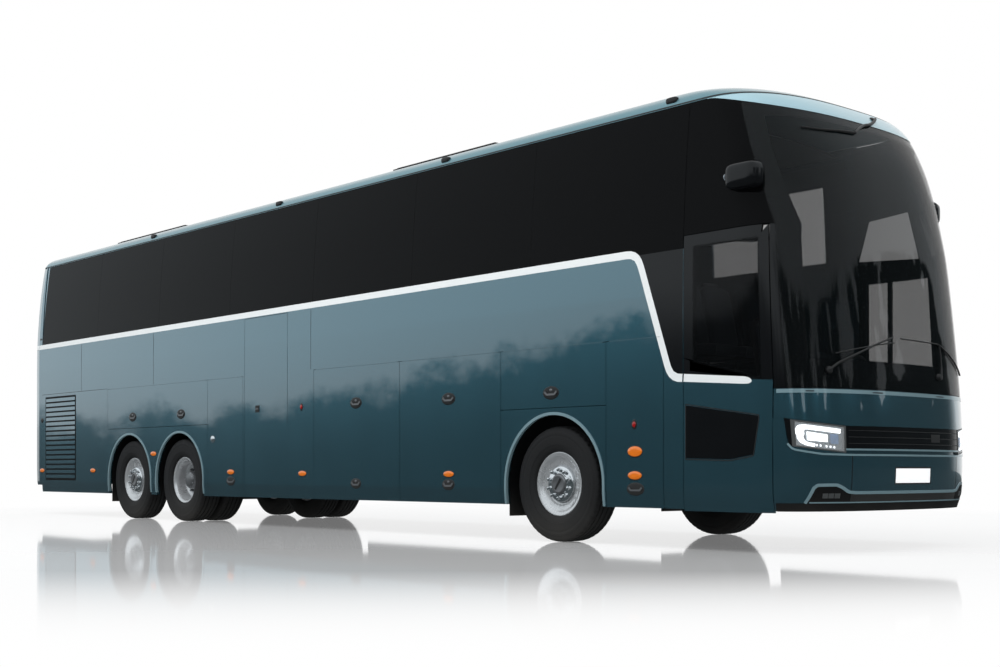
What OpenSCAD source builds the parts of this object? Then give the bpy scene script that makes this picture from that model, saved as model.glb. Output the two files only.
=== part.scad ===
// Three-axle high-floor touring coach. Millimetres, +X forward, +Y left, +Z up.
// The origin is on the ground under the middle of the vehicle.

/* [Body] */
// Overall length of the body
body_len = 14100; // [13000:50:15000]
// Overall width of the body
body_w = 2550; // [2400:10:2600]
// Height of the roof above the ground
roof_z = 3850; // [3500:10:4000]
// Height of the lower edge of the side skirts
skirt_z = 330; // [280:10:400]
// Thickness of the side, front and rear walls
wall = 40; // [30:1:60]
// Thickness of the bonded glass
glass = 8; // [5:1:12]
// Depth of the roof's edge, from the roof's top to the side windows
cornice_drop = 200; // [180:10:260]
// Height of the side windows
window_h = 1200; // [1000:10:1300]
// Height of the seam above the luggage doors
belt_z = 1750; // [1600:10:1850]
// Height of the lower edge of the windscreen
screen_z = 1275; // [1150:5:1400]

/* [Axles] */
// Distance from the front end to the front axle
front_overhang = 2850; // [2700:10:3000]
// Distance from the front axle to the drive axle
wheelbase = 6800; // [6500:10:7100]
// Distance from the drive axle to the tag axle
bogie = 1350; // [1320:10:1500]
// Radius of the tyres
tyre_r = 522; // [480:1:540]
// Width of one tyre
tyre_w = 295; // [250:1:320]
// Radius of the tyre's bead on the rim
rim_r = 290; // [270:1:300]
// Radius of the front wheel arches
front_arch_r = 625; // [615:5:700]
// Radius of the rear wheel arches
rear_arch_r = 600; // [560:5:620]
// Distance of the outer tyre's side inside the body side
tyre_inset = 42; // [30:1:80]
// Gap between the two tyres of a twin wheel
twin_gap = 45; // [30:1:60]

/* [Doors] */
// Clearance around every door and flap
door_gap = 5; // [5:1:8]
// Width of the front door at its foot
front_door_w = 880; // [780:5:890]
// Distance from the front end to the front door's rear edge
front_door_back = 1315; // [1250:5:1350]
// Width of the middle door
mid_door_w = 910; // [800:5:920]
// Length of the arms that carry the front door
door_arm_len = 420; // [380:5:450]
// Thickness of the luggage doors and flaps
flap_t = 34; // [25:1:40]

/* [Inside] */
// Height of the passenger floor
deck_z = 1400; // [1350:10:1500]
// Thickness of floors and bulkheads
floor_t = 40; // [20:1:60]
// Distance between two rows of seats
seat_pitch = 800; // [720:10:850]

/* [Hidden] */

half_w = body_w / 2;
half_len = body_len / 2;
cornice_z = roof_z - cornice_drop;
sill_z = cornice_z - window_h;
front_x = half_len - front_overhang;
drive_x = front_x - wheelbase;
tag_x = drive_x - bogie;
seat_gap = 0.3;   // between fixed pieces that seat on each other
pin_play = 0.1;   // between a pin and its eye
paint = [0.17, 0.30, 0.35];
black = [0.05, 0.05, 0.055];
dark_glass = [0.03, 0.03, 0.035, 0.9];
steel = [0.75, 0.76, 0.78];

// Body sections. Columns: height share of the roof height, half width lost, nose set back, tail set forward.
SECTIONS = [
    [0.0800, 14, 55, 55], [0.1247, 0, 10, 10], [0.1818, 0, 0, 0], [0.26, 0, 5, 0], [0.33, 0, 20, 0],
    [0.4545, 0, 65, 0], [0.5455, 0, 105, 0], [0.6364, 3, 150, 0], [0.70, 13, 195, 5], [0.766, 27, 250, 15],
    [0.831, 45, 320, 30], [0.883, 63, 400, 50], [0.916, 76, 465, 65], [0.9351, 84, 520, 78],
    [0.9485, 90, 575, 90], [0.9636, 112, 690, 125], [0.9766, 165, 860, 180], [0.9857, 255, 1080, 250],
    [0.9935, 400, 1350, 350], [0.9977, 610, 1700, 500], [1, 920, 2150, 750]];
nose_depth = 600;
nose_power = 2.7;
tail_depth = 220;
tail_power = 4.5;

// ---- body form ----
// A section's column at height z, on straight lines between the sections.
function section(z, col) = lookup(z / roof_z, [for (r = SECTIONS) [r[0], r[col]]]);
// Heights from z0 to z1, with each section and each bend of a panel's edge between them.
function heights(z0, z1) = concat([z0],
    sorted([for (z = concat([for (r = SECTIONS) r[0] * roof_z], [front_door_top, screen_top]))
        if (z > z0 + 3 && z < z1 - 3) z]), [z1]);
function sorted(list) = len(list) < 2 ? list : let(m = list[0])
    concat(sorted([for (v = list) if (v < m) v]), [m], sorted([for (v = list) if (v > m) v]));
// How much of an inset lowers the surface: none on the sides, all of it on the crown.
function crown_share(z) = max(0, min(1, (z / roof_z - 0.93) / 0.055));
// Signed power, which rounds the corners of a plan outline.
function rounded(s, power) = sign(s) * pow(abs(s), 2 / power);

// A point of the nose, inset by t. s runs from -1 on the right to 1 on the left, and past those it goes
// straight back along the side, one metre for each unit.
function nose_point(z, s, t) = let(
        w = half_w - section(z, 1) - t,
        start = half_len - section(z, 2) - nose_depth,
        a = 90 * max(-1, min(1, s)),
        back = 1000 * max(0, abs(s) - 1))
    [start + (nose_depth - t) * rounded(cos(a), nose_power) - back, w * rounded(sin(a), nose_power),
        z - t * crown_share(z)];
// The s of the nose's surface at height z and place x, on the left side.
function nose_s(z, x) = let(start = half_len - section(z, 2) - nose_depth)
    x > start ? acos(pow(min(1, (x - start) / nose_depth), nose_power / 2)) / 90 : 1 + (start - x) / 1000;
// The same for the tail, straight forward along the side past -1 and 1.
function tail_point(z, s, t) = let(
        w = half_w - section(z, 1) - t,
        start = -half_len + section(z, 3) + tail_depth,
        a = 90 * max(-1, min(1, s)),
        ahead = 1000 * max(0, abs(s) - 1))
    [start - (tail_depth - t) * rounded(cos(a), tail_power) + ahead, w * rounded(sin(a), tail_power),
        z - t * crown_share(z)];

// The faces of a closed patch of two grids, rows by columns, the second grid inside the first.
function patch_faces(rows, cols) = let(n = rows * cols,
        out = function(i, j) i * cols + j, in = function(i, j) n + i * cols + j)
    concat(
        [for (i = [0:rows - 2]) for (j = [0:cols - 2]) for (f = [
            [out(i, j), out(i + 1, j), out(i + 1, j + 1)], [out(i, j), out(i + 1, j + 1), out(i, j + 1)],
            [in(i, j), in(i + 1, j + 1), in(i + 1, j)], [in(i, j), in(i, j + 1), in(i + 1, j + 1)]]) f],
        [for (j = [0:cols - 2]) for (f = [
            [out(0, j), out(0, j + 1), in(0, j + 1)], [out(0, j), in(0, j + 1), in(0, j)],
            [out(rows - 1, j), in(rows - 1, j + 1), out(rows - 1, j + 1)],
            [out(rows - 1, j), in(rows - 1, j), in(rows - 1, j + 1)]]) f],
        [for (i = [0:rows - 2]) for (f = [
            [out(i, 0), in(i + 1, 0), out(i + 1, 0)], [out(i, 0), in(i, 0), in(i + 1, 0)],
            [out(i, cols - 1), out(i + 1, cols - 1), in(i + 1, cols - 1)],
            [out(i, cols - 1), in(i + 1, cols - 1), in(i, cols - 1)]]) f]);

// A curved panel of the nose between two insets and two heights. Its edges lie at from(z) and to(z).
module nose_patch(z0, z1, outer, inner, from, to, steps) {
    zs = heights(z0, z1);
    points = [for (t = [outer, inner]) for (z = zs) for (i = [0:steps])
        let(s0 = from(z), s1 = to(z)) nose_point(z, s0 + (s1 - s0) * i / steps, t)];
    polyhedron(points, patch_faces(len(zs), steps + 1), convexity = 4);
}

// A curved panel of the tail between two insets and two heights, from side wall to side wall.
tail_steps = 12;
module tail_patch(z0, z1, outer, inner) {
    zs = heights(z0, z1);
    points = [for (t = [outer, inner]) for (z = zs) for (i = [-1:tail_steps + 1])
        let(edge = 1 + (wall_x0 - seat_gap + half_len - section(z, 3) - tail_depth) / 1000)
        tail_point(z, i < 0 ? edge : i > tail_steps ? -edge : 1 - 2 * i / tail_steps, t)];
    polyhedron(points, patch_faces(len(zs), tail_steps + 3), convexity = 4);
}

// A straight stretch of one side between two insets, from x0 to x1.
module side_slab(side, outer, inner, x0, x1, z0, z1) {
    zs = heights(z0, z1);
    n = len(zs);
    outline = concat([for (z = zs) [half_w - section(z, 1) - outer, z]],
        [for (i = [n - 1:-1:0]) [half_w - section(zs[i], 1) - inner, zs[i]]]);
    translate([x0, 0, 0]) mirror([0, side < 0 ? 1 : 0, 0])
        rotate([90, 0, 90]) linear_extrude(x1 - x0) polygon(outline);
}

// A box given by its lowest and highest corners.
module block(low, high) {
    translate(low) cube(high - low);
}

// An XZ outline carried across the body from y0 to y1.
module across(points, y0, y1) {
    translate([0, y1, 0]) rotate([90, 0, 0]) linear_extrude(y1 - y0) polygon(points);
}

// The same, through one side wall.
module through_side(side, points) {
    if (side < 0) across(points, -half_w - 60, -half_w + 300);
    else across(points, half_w - 300, half_w + 60);
}

function box_outline(x0, x1, z0, z1, grow = 0) =
    [[x0 - grow, z0 - grow], [x1 + grow, z0 - grow], [x1 + grow, z1 + grow], [x0 - grow, z1 + grow]];

// A rod along Y through a point of the XZ plane.
module rod_y(x, z, r, y0, y1) {
    translate([x, y0, z]) rotate([-90, 0, 0]) cylinder(h = y1 - y0, r = r, $fn = 96);
}

// ---- places of the doors ----
front_door_x = half_len - front_door_back;
front_door_foot = front_door_x + front_door_w;
front_door_top = sill_z + 100;
front_door_lean = 70;
door_sill_z = skirt_z - 15;
flap_foot = 1205;
front_flap_x0 = front_x - 700;
front_flap_x1 = front_x + 660;
rear_flap_x0 = tag_x - 630;
rear_flap_x1 = drive_x + 710;
mid_door_x = drive_x + 1570;
mid_door_end = mid_door_x + mid_door_w;
mid_door_top = sill_z - 30;
bay_x0 = mid_door_end + 530;
bay_mid = (bay_x0 + front_flap_x0) / 2;
service_front_x1 = front_door_x - 218;
service_mid_x1 = mid_door_x - 40;
// Top-hung doors and flaps. Columns: name, side (-1 right, 1 left), rear edge, front edge, foot.
FLAPS = [
    ["luggage_door_right_1", -1, bay_x0, bay_mid, skirt_z],
    ["luggage_door_right_2", -1, bay_mid, front_flap_x0, skirt_z],
    ["luggage_door_left_1", 1, bay_x0, bay_mid, skirt_z],
    ["luggage_door_left_2", 1, bay_mid, front_flap_x0, skirt_z],
    ["flap_front_right", -1, front_flap_x0, front_flap_x1, flap_foot],
    ["flap_rear_right", -1, rear_flap_x0, rear_flap_x1, flap_foot],
    ["flap_front_left", 1, front_flap_x0, front_flap_x1, flap_foot],
    ["flap_rear_left", 1, rear_flap_x0, rear_flap_x1, flap_foot],
    ["service_door_front", -1, front_flap_x1, service_front_x1, skirt_z],
    ["service_door_mid", -1, rear_flap_x1, service_mid_x1, skirt_z]];

// A door's hinge is a long barrel in the gap beside it, on the outer face's line, with a leaf into the door.
barrel_r = door_gap / 2 - 0.2;
leaf = 6;

// One top-hung door. Its foot is the skirt's own edge where it reaches down to it.
module flap(name) {
    row = FLAPS[search([name], FLAPS)[0]];
    edge = door_gap / 2;
    color(paint) {
        side_slab(row[1], 0, flap_t, row[2] + edge, row[3] - edge,
            row[4] + (row[4] > skirt_z ? edge : 0), belt_z - edge);
        translate([row[2] + 40, row[1] * half_w, belt_z]) {
            rotate([0, 90, 0]) cylinder(h = row[3] - row[2] - 80, r = barrel_r, $fn = 24);
            translate([0, row[1] < 0 ? 0.2 : -1.7, -leaf]) cube([row[3] - row[2] - 80, 1.5, leaf]);
        }
    }
}

module flap_openings(side) {
    edge = door_gap / 2;
    for (row = FLAPS) if (row[1] == side)
        through_side(side, box_outline(row[2] - edge, row[3] + edge,
            row[4] > skirt_z ? row[4] - edge : skirt_z - 50, belt_z + edge));
}

// A wheel arch is round above the hub and straight below it.
module arch_cut(x, r, side) {
    y0 = side < 0 ? -half_w - 60 : half_w - 300;
    rod_y(x, tyre_r, r, y0, y0 + 360);
    block([x - r, y0, 0], [x + r, y0 + 360, tyre_r]);
}

module arch_cuts(side) {
    arch_cut(front_x, front_arch_r, side);
    arch_cut(drive_x, rear_arch_r, side);
    arch_cut(tag_x, rear_arch_r, side);
}

// ---- side walls ----
wall_x0 = -half_len + tail_depth + 100;
wall_x1 = front_door_x - door_gap;
nose_side_x = half_len - 650;   // where the left side meets the front panels
WINDOWS = 7;
pillar = 130;
window_pitch = (wall_x1 - wall_x0 - pillar) / WINDOWS;
window_foot = sill_z + 90;
window_head = cornice_z - 110;

module window_cuts(side) {
    for (i = [0:WINDOWS - 1])
        through_side(side, box_outline(wall_x0 + pillar + i * window_pitch, wall_x0 + (i + 1) * window_pitch,
            window_foot, window_head));
}

module wall_body(side) {
    color(paint) difference() {
        union() {
            side_slab(side, 0, wall, wall_x0, wall_x1, skirt_z, sill_z);
            side_slab(side, glass + seat_gap, wall, wall_x0, wall_x1, sill_z, cornice_z - seat_gap);
            if (side > 0) side_slab(side, 0, wall, wall_x1 - 1, nose_side_x, skirt_z, screen_z - seat_gap);
        }
        flap_openings(side);
        arch_cuts(side);
        window_cuts(side);
        if (side < 0) through_side(side,
            box_outline(mid_door_x, mid_door_end, skirt_z - 60, mid_door_top, door_gap));
    }
}

module right_wall() { wall_body(-1); }
module left_wall() { wall_body(1); }

// ---- the front's panels ----
header_drop = 50;
screen_top = cornice_z - header_drop;
// The front door's front edge and the windscreen's edge: places along the body at height z.
door_front = function(z) lookup(z, [[screen_z, front_door_foot],
    [front_door_top, front_door_foot - front_door_lean]]);
screen_edge = function(z) lookup(z, [[screen_z, front_door_foot + 95],
    [front_door_top, front_door_foot - 25], [screen_top, front_door_foot - 405]]);
pillar_w = 130;
right_s = function(x_at) function(z) -nose_s(z, x_at(z));
left_s = function(x_at) function(z) nose_s(z, x_at(z));
at = function(x) function(z) x;
shifted = function(x_at, d) function(z) x_at(z) + d;
pillar_inner = wall + 20;
driver_window = [[front_door_x + 70, screen_z + 330], [front_door_foot - 110, screen_z + 180],
    [front_door_foot - 160, sill_z - 80], [front_door_x + 70, sill_z - 80]];
nose_right = right_s(at(front_door_foot + door_gap));
nose_left = left_s(at(nose_side_x + seat_gap));

// The glass around the front, as one patch for the windscreen and patches for the corner panes. The frame
// behind it is cut back with the same patches, so that both have one form.
module screen_patch(outer, inner, grow = 0) {
    nose_patch(screen_z, cornice_z - pane_joint + grow, outer, inner, right_s(screen_edge), left_s(screen_edge), 20);
}
module corner_patches(outer, inner, grow = 0) {
    nose_patch(front_door_top + door_gap, cornice_z - pane_joint + grow, outer, inner,
        right_s(at(wall_x1 + seat_gap)), right_s(shifted(screen_edge, -pane_joint)), 6);
    nose_patch(screen_z + seat_gap, front_door_top + door_gap + 1, outer, inner,
        right_s(shifted(door_front, door_gap)), right_s(shifted(screen_edge, -pane_joint)), 3);
    nose_patch(screen_z + seat_gap, cornice_z - pane_joint + grow, outer, inner,
        left_s(shifted(screen_edge, -pane_joint)), left_s(at(wall_x1 + seat_gap)), 6);
}

// Frame behind the windscreen's edge: both pillars, the panel above the door, the driver's side and the header.
module front_pillars() {
    color(black) difference() {
        union() {
            nose_patch(front_door_top + door_gap, screen_top, glass - 2, pillar_inner,
                right_s(at(wall_x1 + seat_gap)), right_s(shifted(screen_edge, pillar_w)), 8);
            nose_patch(screen_z + seat_gap, front_door_top + door_gap + 1, glass - 2, pillar_inner,
                right_s(shifted(door_front, door_gap)), right_s(shifted(screen_edge, pillar_w)), 4);
            nose_patch(screen_z + seat_gap, screen_top, glass - 2, pillar_inner,
                left_s(shifted(screen_edge, pillar_w)), left_s(at(wall_x1 + seat_gap)), 8);
            nose_patch(screen_top - 60, cornice_z - seat_gap, glass - 2, pillar_inner,
                right_s(at(wall_x1 + seat_gap)), left_s(at(wall_x1 + seat_gap)), 24);
        }
        screen_patch(-10, glass + 2 * seat_gap, 2 * seat_gap);
        corner_patches(-10, glass + 2 * seat_gap, 2 * seat_gap);
        through_side(1, driver_window);
    }
}

module windscreen() {
    color([0.1, 0.12, 0.13, 0.5]) screen_patch(0, glass);
}

// Bonded panes along both sides, the corner panes between them and the windscreen, and the rear window.
pane_joint = 4;
module body_glass() {
    color(dark_glass) {
        for (side = [-1, 1]) for (i = [0:WINDOWS - 1])
            side_slab(side, 0, glass, wall_x0 + i * window_pitch + (i == 0 ? 0 : pillar / 2),
                wall_x0 + (i + 1) * window_pitch + pillar / 2 - pane_joint + (i == WINDOWS - 1 ? pillar / 2 : 0),
                sill_z + 2, cornice_z - pane_joint);
        corner_patches(0, glass);
        rear_glass();
    }
}

panel_z = 1045;
bumper_z = 770;
lamp_recess = 22;
module front_panel() {
    color(paint) nose_patch(panel_z, screen_z - seat_gap, 0, wall, nose_right, nose_left, 24);
}

module front_bumper() {
    color(paint) {
        nose_patch(skirt_z, bumper_z, 0, wall, nose_right, nose_left, 24);
        recess_patch(lamp_recess, lamp_recess + wall);
    }
}
// The recessed band behind the headlamps and the grille.
module recess_patch(outer, inner) {
    nose_patch(bumper_z - seat_gap, panel_z - seat_gap, outer, inner, nose_right, nose_left, 24);
}

module lamp_units() {
    color([0.9, 0.9, 0.92]) {
        difference() {
            for (s = [-1, 1]) nose_patch(bumper_z + 3, panel_z - 3, 3, lamp_recess + 10,
                function(z) s < 0 ? -0.69 : 0.38, function(z) s < 0 ? -0.38 : 0.69, 6);
            recess_patch(lamp_recess - seat_gap, 2 * wall);
        }
        for (s = [-1, 1]) intersection() {
            tail_patch(lamp_z0 - 20, lamp_z1 + 20, 2, wall);
            block([-half_len, s * lamp_rear_y - lamp_w / 2 + seat_gap, lamp_z0 + seat_gap],
                [-half_len + 300, s * lamp_rear_y + lamp_w / 2 - seat_gap, lamp_z1 - seat_gap]);
        }
    }
}

// ---- rear ----
lid_z0 = 640;
lid_z1 = 1700;
lid_half = 900;
lamp_rear_y = 1060;
lamp_w = 130;
lamp_z0 = 900;
lamp_z1 = 1600;
rear_glass_half = 940;
rear_glass_z0 = 2650;
rear_glass_z1 = 3450;
module rear_panel() {
    color(paint) difference() {
        tail_patch(skirt_z + 100, cornice_z - seat_gap, 0, wall);
        block([-half_len - 50, -lid_half - door_gap, lid_z0 - door_gap],
            [-half_len + 300, lid_half + door_gap, lid_z1 + door_gap]);
        block([-half_len - 50, -rear_glass_half, rear_glass_z0], [-half_len + 400, rear_glass_half, rear_glass_z1]);
        for (s = [-1, 1]) block([-half_len - 50, s * lamp_rear_y - lamp_w / 2, lamp_z0],
            [-half_len + 300, s * lamp_rear_y + lamp_w / 2, lamp_z1]);
    }
}

module rear_glass() {
    intersection() {
        tail_patch(rear_glass_z0 - 100, rear_glass_z1 + 100, 2, glass + 2);
        block([-half_len - 50, -rear_glass_half + seat_gap, rear_glass_z0 + seat_gap],
            [-half_len + 400, rear_glass_half - seat_gap, rear_glass_z1 - seat_gap]);
    }
}

// The lid's upper edge is bevelled, so that it turns clear of the panel above it.
lid_bevel = 3;
module engine_lid() {
    color(paint) {
        difference() {
            intersection() {
                tail_patch(lid_z0 - 60, lid_z1 + 60, 0, flap_t);
                block([-half_len - 50, -lid_half, lid_z0], [-half_len + 300, lid_half, lid_z1]);
            }
            translate([-half_len, 0, lid_z1]) rotate([0, 45, 0])
                cube([lid_bevel * sqrt(2), 2 * half_w, lid_bevel * sqrt(2)], center = true);
        }
        for (y = [-260, 140]) translate([-half_len + door_gap / 2, y, lid_z1 + door_gap / 2]) {
            rotate([-90, 0, 0]) cylinder(h = 120, r = barrel_r, $fn = 24);
            translate([0, 0, -leaf]) cube([1.5, 120, leaf]);
        }
    }
}

// ---- roof ----
// One lofted shell, from the cornice to the crown, open below.
roof_nose_steps = 22;
roof_tail_steps = 10;
function roof_ring(z, t) = concat(
    [for (i = [0:roof_nose_steps]) nose_point(z, -1 + 2 * i / roof_nose_steps, t)],
    [for (i = [0:roof_tail_steps]) tail_point(z, 1 - 2 * i / roof_tail_steps, t)]);
module roof_panel() {
    zs = heights(cornice_z, roof_z);
    rows = len(zs);
    n = roof_nose_steps + roof_tail_steps + 2;
    points = [for (t = [0, wall]) for (z = zs) for (p = roof_ring(z, t)) [p[0], p[1], max(p[2], cornice_z)]];
    walls = [for (i = [0:rows - 2]) for (j = [0:n - 1]) let(k = (j + 1) % n, m = rows * n) for (f = [
        [i * n + j, (i + 1) * n + j, (i + 1) * n + k], [i * n + j, (i + 1) * n + k, i * n + k],
        [m + i * n + j, m + (i + 1) * n + k, m + (i + 1) * n + j],
        [m + i * n + j, m + i * n + k, m + (i + 1) * n + k]]) f];
    foot = [for (j = [0:n - 1]) let(k = (j + 1) % n, m = rows * n) for (f = [
        [j, k, m + k], [j, m + k, m + j]]) f];
    crown = [[for (j = [n - 1:-1:0]) (rows - 1) * n + j], [for (j = [0:n - 1]) (2 * rows - 1) * n + j]];
    color([0.45, 0.58, 0.62]) polyhedron(points, concat(walls, foot, crown), convexity = 6);
}

hatch_top = 55;
hatch_half = 760;
// Roof hatches. Columns: rear edge, front edge.
HATCHES = [[front_x - 2950, front_x - 1300], [tag_x - 1250, tag_x + 650]];
// Half of the roof's crown within the hatches, from the edge to the middle, raised by t.
function crown_line(t) = concat(
    [[hatch_half, lookup(hatch_half, [for (i = [len(SECTIONS) - 1:-1:0])
        [half_w - SECTIONS[i][1], SECTIONS[i][0] * roof_z]]) + t]],
    [for (r = SECTIONS) let(y = half_w - r[1]) if (y < hatch_half) [y, r[0] * roof_z + t]]);
module roof_hatches() {
    line = crown_line(seat_gap);
    right = [for (p = line) [-p[0], p[1]]];
    left = [for (i = [len(line) - 1:-1:0]) line[i]];
    outline = concat([[-hatch_half + 60, roof_z + hatch_top], [-hatch_half, roof_z + hatch_top - 35]],
        right, left, [[hatch_half, roof_z + hatch_top - 35], [hatch_half - 60, roof_z + hatch_top]]);
    color(black) for (h = HATCHES) translate([h[0], 0, 0])
        rotate([90, 0, 90]) linear_extrude(h[1] - h[0]) polygon(outline);
}

// ---- underframe ----
rail_y = 420;
rail_w = 80;
rail_z0 = 620;
rail_z1 = 780;
bay_floor_z = 400;
front_bulkhead = front_flap_x0 - 10;
rear_bulkhead = service_mid_x1 - 10;
tuck_z = SECTIONS[1][0] * roof_z;   // where the sides turn in below
inside_y = half_w - wall - seat_gap;
bay_wall_y = half_w - 1.5 * wall;
mid_stair_y = -500;
// The frame rails, ahead of the luggage bay and behind it, grown by g.
module rails(g) {
    for (s = [-1, 1]) {
        block([-half_len + 300 - g, s * rail_y - rail_w / 2 - g, rail_z0 - g],
            [rear_bulkhead, s * rail_y + rail_w / 2 + g, rail_z1 + g]);
        block([front_bulkhead, s * rail_y - rail_w / 2 - g, rail_z0 - g],
            [half_len - 500 + g, s * rail_y + rail_w / 2 + g, rail_z1 + g]);
    }
}
module underframe() {
    color([0.08, 0.08, 0.08]) {
        rails(0);
        for (x = [-half_len + 400, tag_x - 900, drive_x + 900, front_x - 350, front_x + 800, half_len - 620])
            block([x, -rail_y, rail_z0 + 20], [x + 80, rail_y, rail_z1 - 20]);
        // luggage bay: floor and two bulkheads
        difference() {
            block([rear_bulkhead - floor_t, -bay_wall_y, bay_floor_z],
                [front_bulkhead + floor_t, bay_wall_y, bay_floor_z + floor_t]);
            block([mid_door_x - 30, -half_w, bay_floor_z - 1],
                [mid_door_end + 80, mid_stair_y - 1, bay_floor_z + floor_t + 1]);
        }
        // the front bulkhead carries the sides of the wheel arches
        block([front_bulkhead, -inside_y, tuck_z], [front_bulkhead + floor_t, inside_y, flap_foot - 40]);
        for (x = [rear_bulkhead - floor_t, front_bulkhead])
            block([x, -bay_wall_y, bay_floor_z], [x + floor_t, bay_wall_y, deck_z - floor_t - seat_gap]);
        // wall between the luggage bay and the middle stairs
        block([bay_x0 - 60, -bay_wall_y, bay_floor_z], [bay_x0 - 40, mid_stair_y + 20, deck_z - floor_t - seat_gap]);
        block([rear_bulkhead, mid_stair_y, bay_floor_z], [bay_x0 - 40, mid_stair_y + 20, deck_z - floor_t - seat_gap]);
        // supports of the stairs and the driver's place
        for (s = [-1, 1]) block([half_len - 900, s * rail_y - 30, rail_z1 - 1],
            [half_len - 820, s * rail_y + 30, driver_floor_z - floor_t - seat_gap]);
        block([half_len - 560, 20 + stair_y, rail_z0 + 20], [half_len - 500, -20 - stair_y, rail_z1 - 20]);
    }
}

// ---- floors and stairs ----
deck_x0 = -half_len + 260;
deck_x1 = front_x + 690;
driver_floor_z = 950;
stair_x0 = front_door_x - 60;
stair_x1 = front_door_foot - 20;
stair_y = -480;
STEPS = 3;
stair_tread = (half_w - 75 + stair_y) / STEPS;
platform_x1 = half_len - 330;
// The top of the entrance step i, counted from the lowest.
function step_top(i) = skirt_z + 80 + i * (driver_floor_z - skirt_z - 80) / STEPS;
// Three steps up to z1 from the doorway, with their risers, ending at y1.
module stairs(x0, x1, y1, tread, z1) {
    rise = (z1 - skirt_z - 80) / STEPS;
    for (i = [0:STEPS - 1]) {
        z = skirt_z + 80 + i * rise;
        y = y1 - (STEPS - i) * tread;
        block([x0, y, z - floor_t / 2], [x1, y + tread + 12, z]);
        block([x0, y + tread, z - floor_t / 2], [x1, y + tread + 12, i == STEPS - 1 ? z1 : z + rise]);
    }
}
module cabin_floor() {
    color([0.25, 0.25, 0.27]) {
        difference() {
            block([deck_x0, -inside_y, deck_z - floor_t], [deck_x1, inside_y, deck_z]);
            block([mid_door_x - 10, -inside_y - 1, deck_z - floor_t - 1],
                [mid_door_end + 60, mid_stair_y - 10, deck_z + 1]);
        }
        // beside the driver: raised floor over the service locker, and the bulkheads around the stairs
        block([deck_x1 - 1, -inside_y, deck_z - floor_t], [stair_x0, stair_y, deck_z]);
        block([stair_x0 - floor_t, -inside_y, tuck_z], [stair_x0, stair_y, deck_z]);
        difference() {
            block([deck_x1 - floor_t, -inside_y, tuck_z], [deck_x1, inside_y, deck_z]);
            rails(seat_gap);
        }
        block([deck_x1 - 1, stair_y - floor_t, driver_floor_z - floor_t], [stair_x0, stair_y, deck_z]);
        // the driver's floor and a step up to the aisle
        block([deck_x1 - 1, stair_y - floor_t, driver_floor_z - floor_t], [platform_x1, 900, driver_floor_z]);
        block([deck_x1 - 1, 899, driver_floor_z - floor_t], [half_len - 760, inside_y, driver_floor_z]);
        block([deck_x1 - 1, stair_y, driver_floor_z - 1], [deck_x1 + 280, 260, (driver_floor_z + deck_z) / 2]);
        stairs(stair_x0 - 1, stair_x1, stair_y, stair_tread, driver_floor_z);
        stairs(mid_door_x - 9, mid_door_end + 59, mid_stair_y - 14, (half_w - 56 + mid_stair_y - 14) / STEPS, deck_z);
        for (x = [mid_door_x - 28, mid_door_end + 58])
            block([x, -inside_y, tuck_z], [x + 20, mid_stair_y - 8, deck_z - 1]);
    }
}

// Arched liners over the wheels, with the mudflaps that hang from them.
liner_t = 12;
liner_y0 = 600;
module liner(x, r, side) {
    outer_y = half_w - wall - seat_gap;
    difference() {
        rod_y(x, tyre_r, r + liner_t, side < 0 ? -outer_y : liner_y0, side < 0 ? -liner_y0 : outer_y);
        rod_y(x, tyre_r, r, -half_w, half_w);
        block([x - 2 * r, -half_w, -r], [x + 2 * r, half_w, tyre_r]);
    }
}
module wheel_liners() {
    color(black) for (side = [-1, 1]) {
        liner(front_x, front_arch_r + 8, side);
        difference() {
            union() {
                liner(drive_x, rear_arch_r + 8, side);
                liner(tag_x, rear_arch_r + 8, side);
            }
            rod_y(drive_x, tyre_r, rear_arch_r + 7, -half_w, half_w);
            rod_y(tag_x, tyre_r, rear_arch_r + 7, -half_w, half_w);
        }
        for (p = [[front_x - front_arch_r - 8 - liner_t, 900], [tag_x - rear_arch_r - 8 - liner_t, 760]])
            block([p[0], side < 0 ? -half_w + wall + 20 : p[1], 220],
                [p[0] + liner_t, side < 0 ? -p[1] : half_w - wall - 20, tyre_r + 30]);
    }
}

module engine_block() {
    color([0.3, 0.3, 0.3]) block([-half_len + 450, -500, rail_z1], [tag_x - 800, 500, deck_z - floor_t - 60]);
}

// ---- axles ----
king_y = 940;
king_r = 24;
ear_r = 48;
spindle_r = 45;
tyre_y = half_w - tyre_inset - tyre_w / 2;
twin_y = tyre_y - tyre_w - twin_gap;
// A rod between the beam and the frame rail that stands for an air spring.
module air_spring(x) {
    for (s = [-1, 1]) translate([x, s * rail_y, tyre_r - 70]) cylinder(h = rail_z0 - tyre_r + 70, r = 105, $fn = 64);
}
module axle_beams() {
    color([0.12, 0.12, 0.12]) {
        block([front_x - 55, -king_y, tyre_r - 130], [front_x + 55, king_y, tyre_r - 60]);
        for (s = [-1, 1]) {
            translate([front_x, s * king_y, tyre_r - 130]) cylinder(h = 130, r = ear_r + 7, $fn = 64);
            translate([front_x, s * king_y, tyre_r - 200]) cylinder(h = 270, r = king_r, $fn = 64);
        }
        air_spring(front_x);
        rod_y(drive_x, tyre_r, 75, -drive_stub, drive_stub);
        rod_y(drive_x, tyre_r, spindle_r, -tyre_y - 40, tyre_y + 40);
        translate([drive_x, 0, tyre_r]) sphere(r = 210, $fn = 48);
        air_spring(drive_x);
        rod_y(tag_x, tyre_r, 65, -tag_stub, tag_stub);
        rod_y(tag_x, tyre_r, spindle_r, -tyre_y - 40, tyre_y + 40);
        air_spring(tag_x);
    }
}
drive_stub = twin_y - tyre_w / 2 - 30;
tag_stub = tyre_y - tyre_w / 2 - 30;

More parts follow.
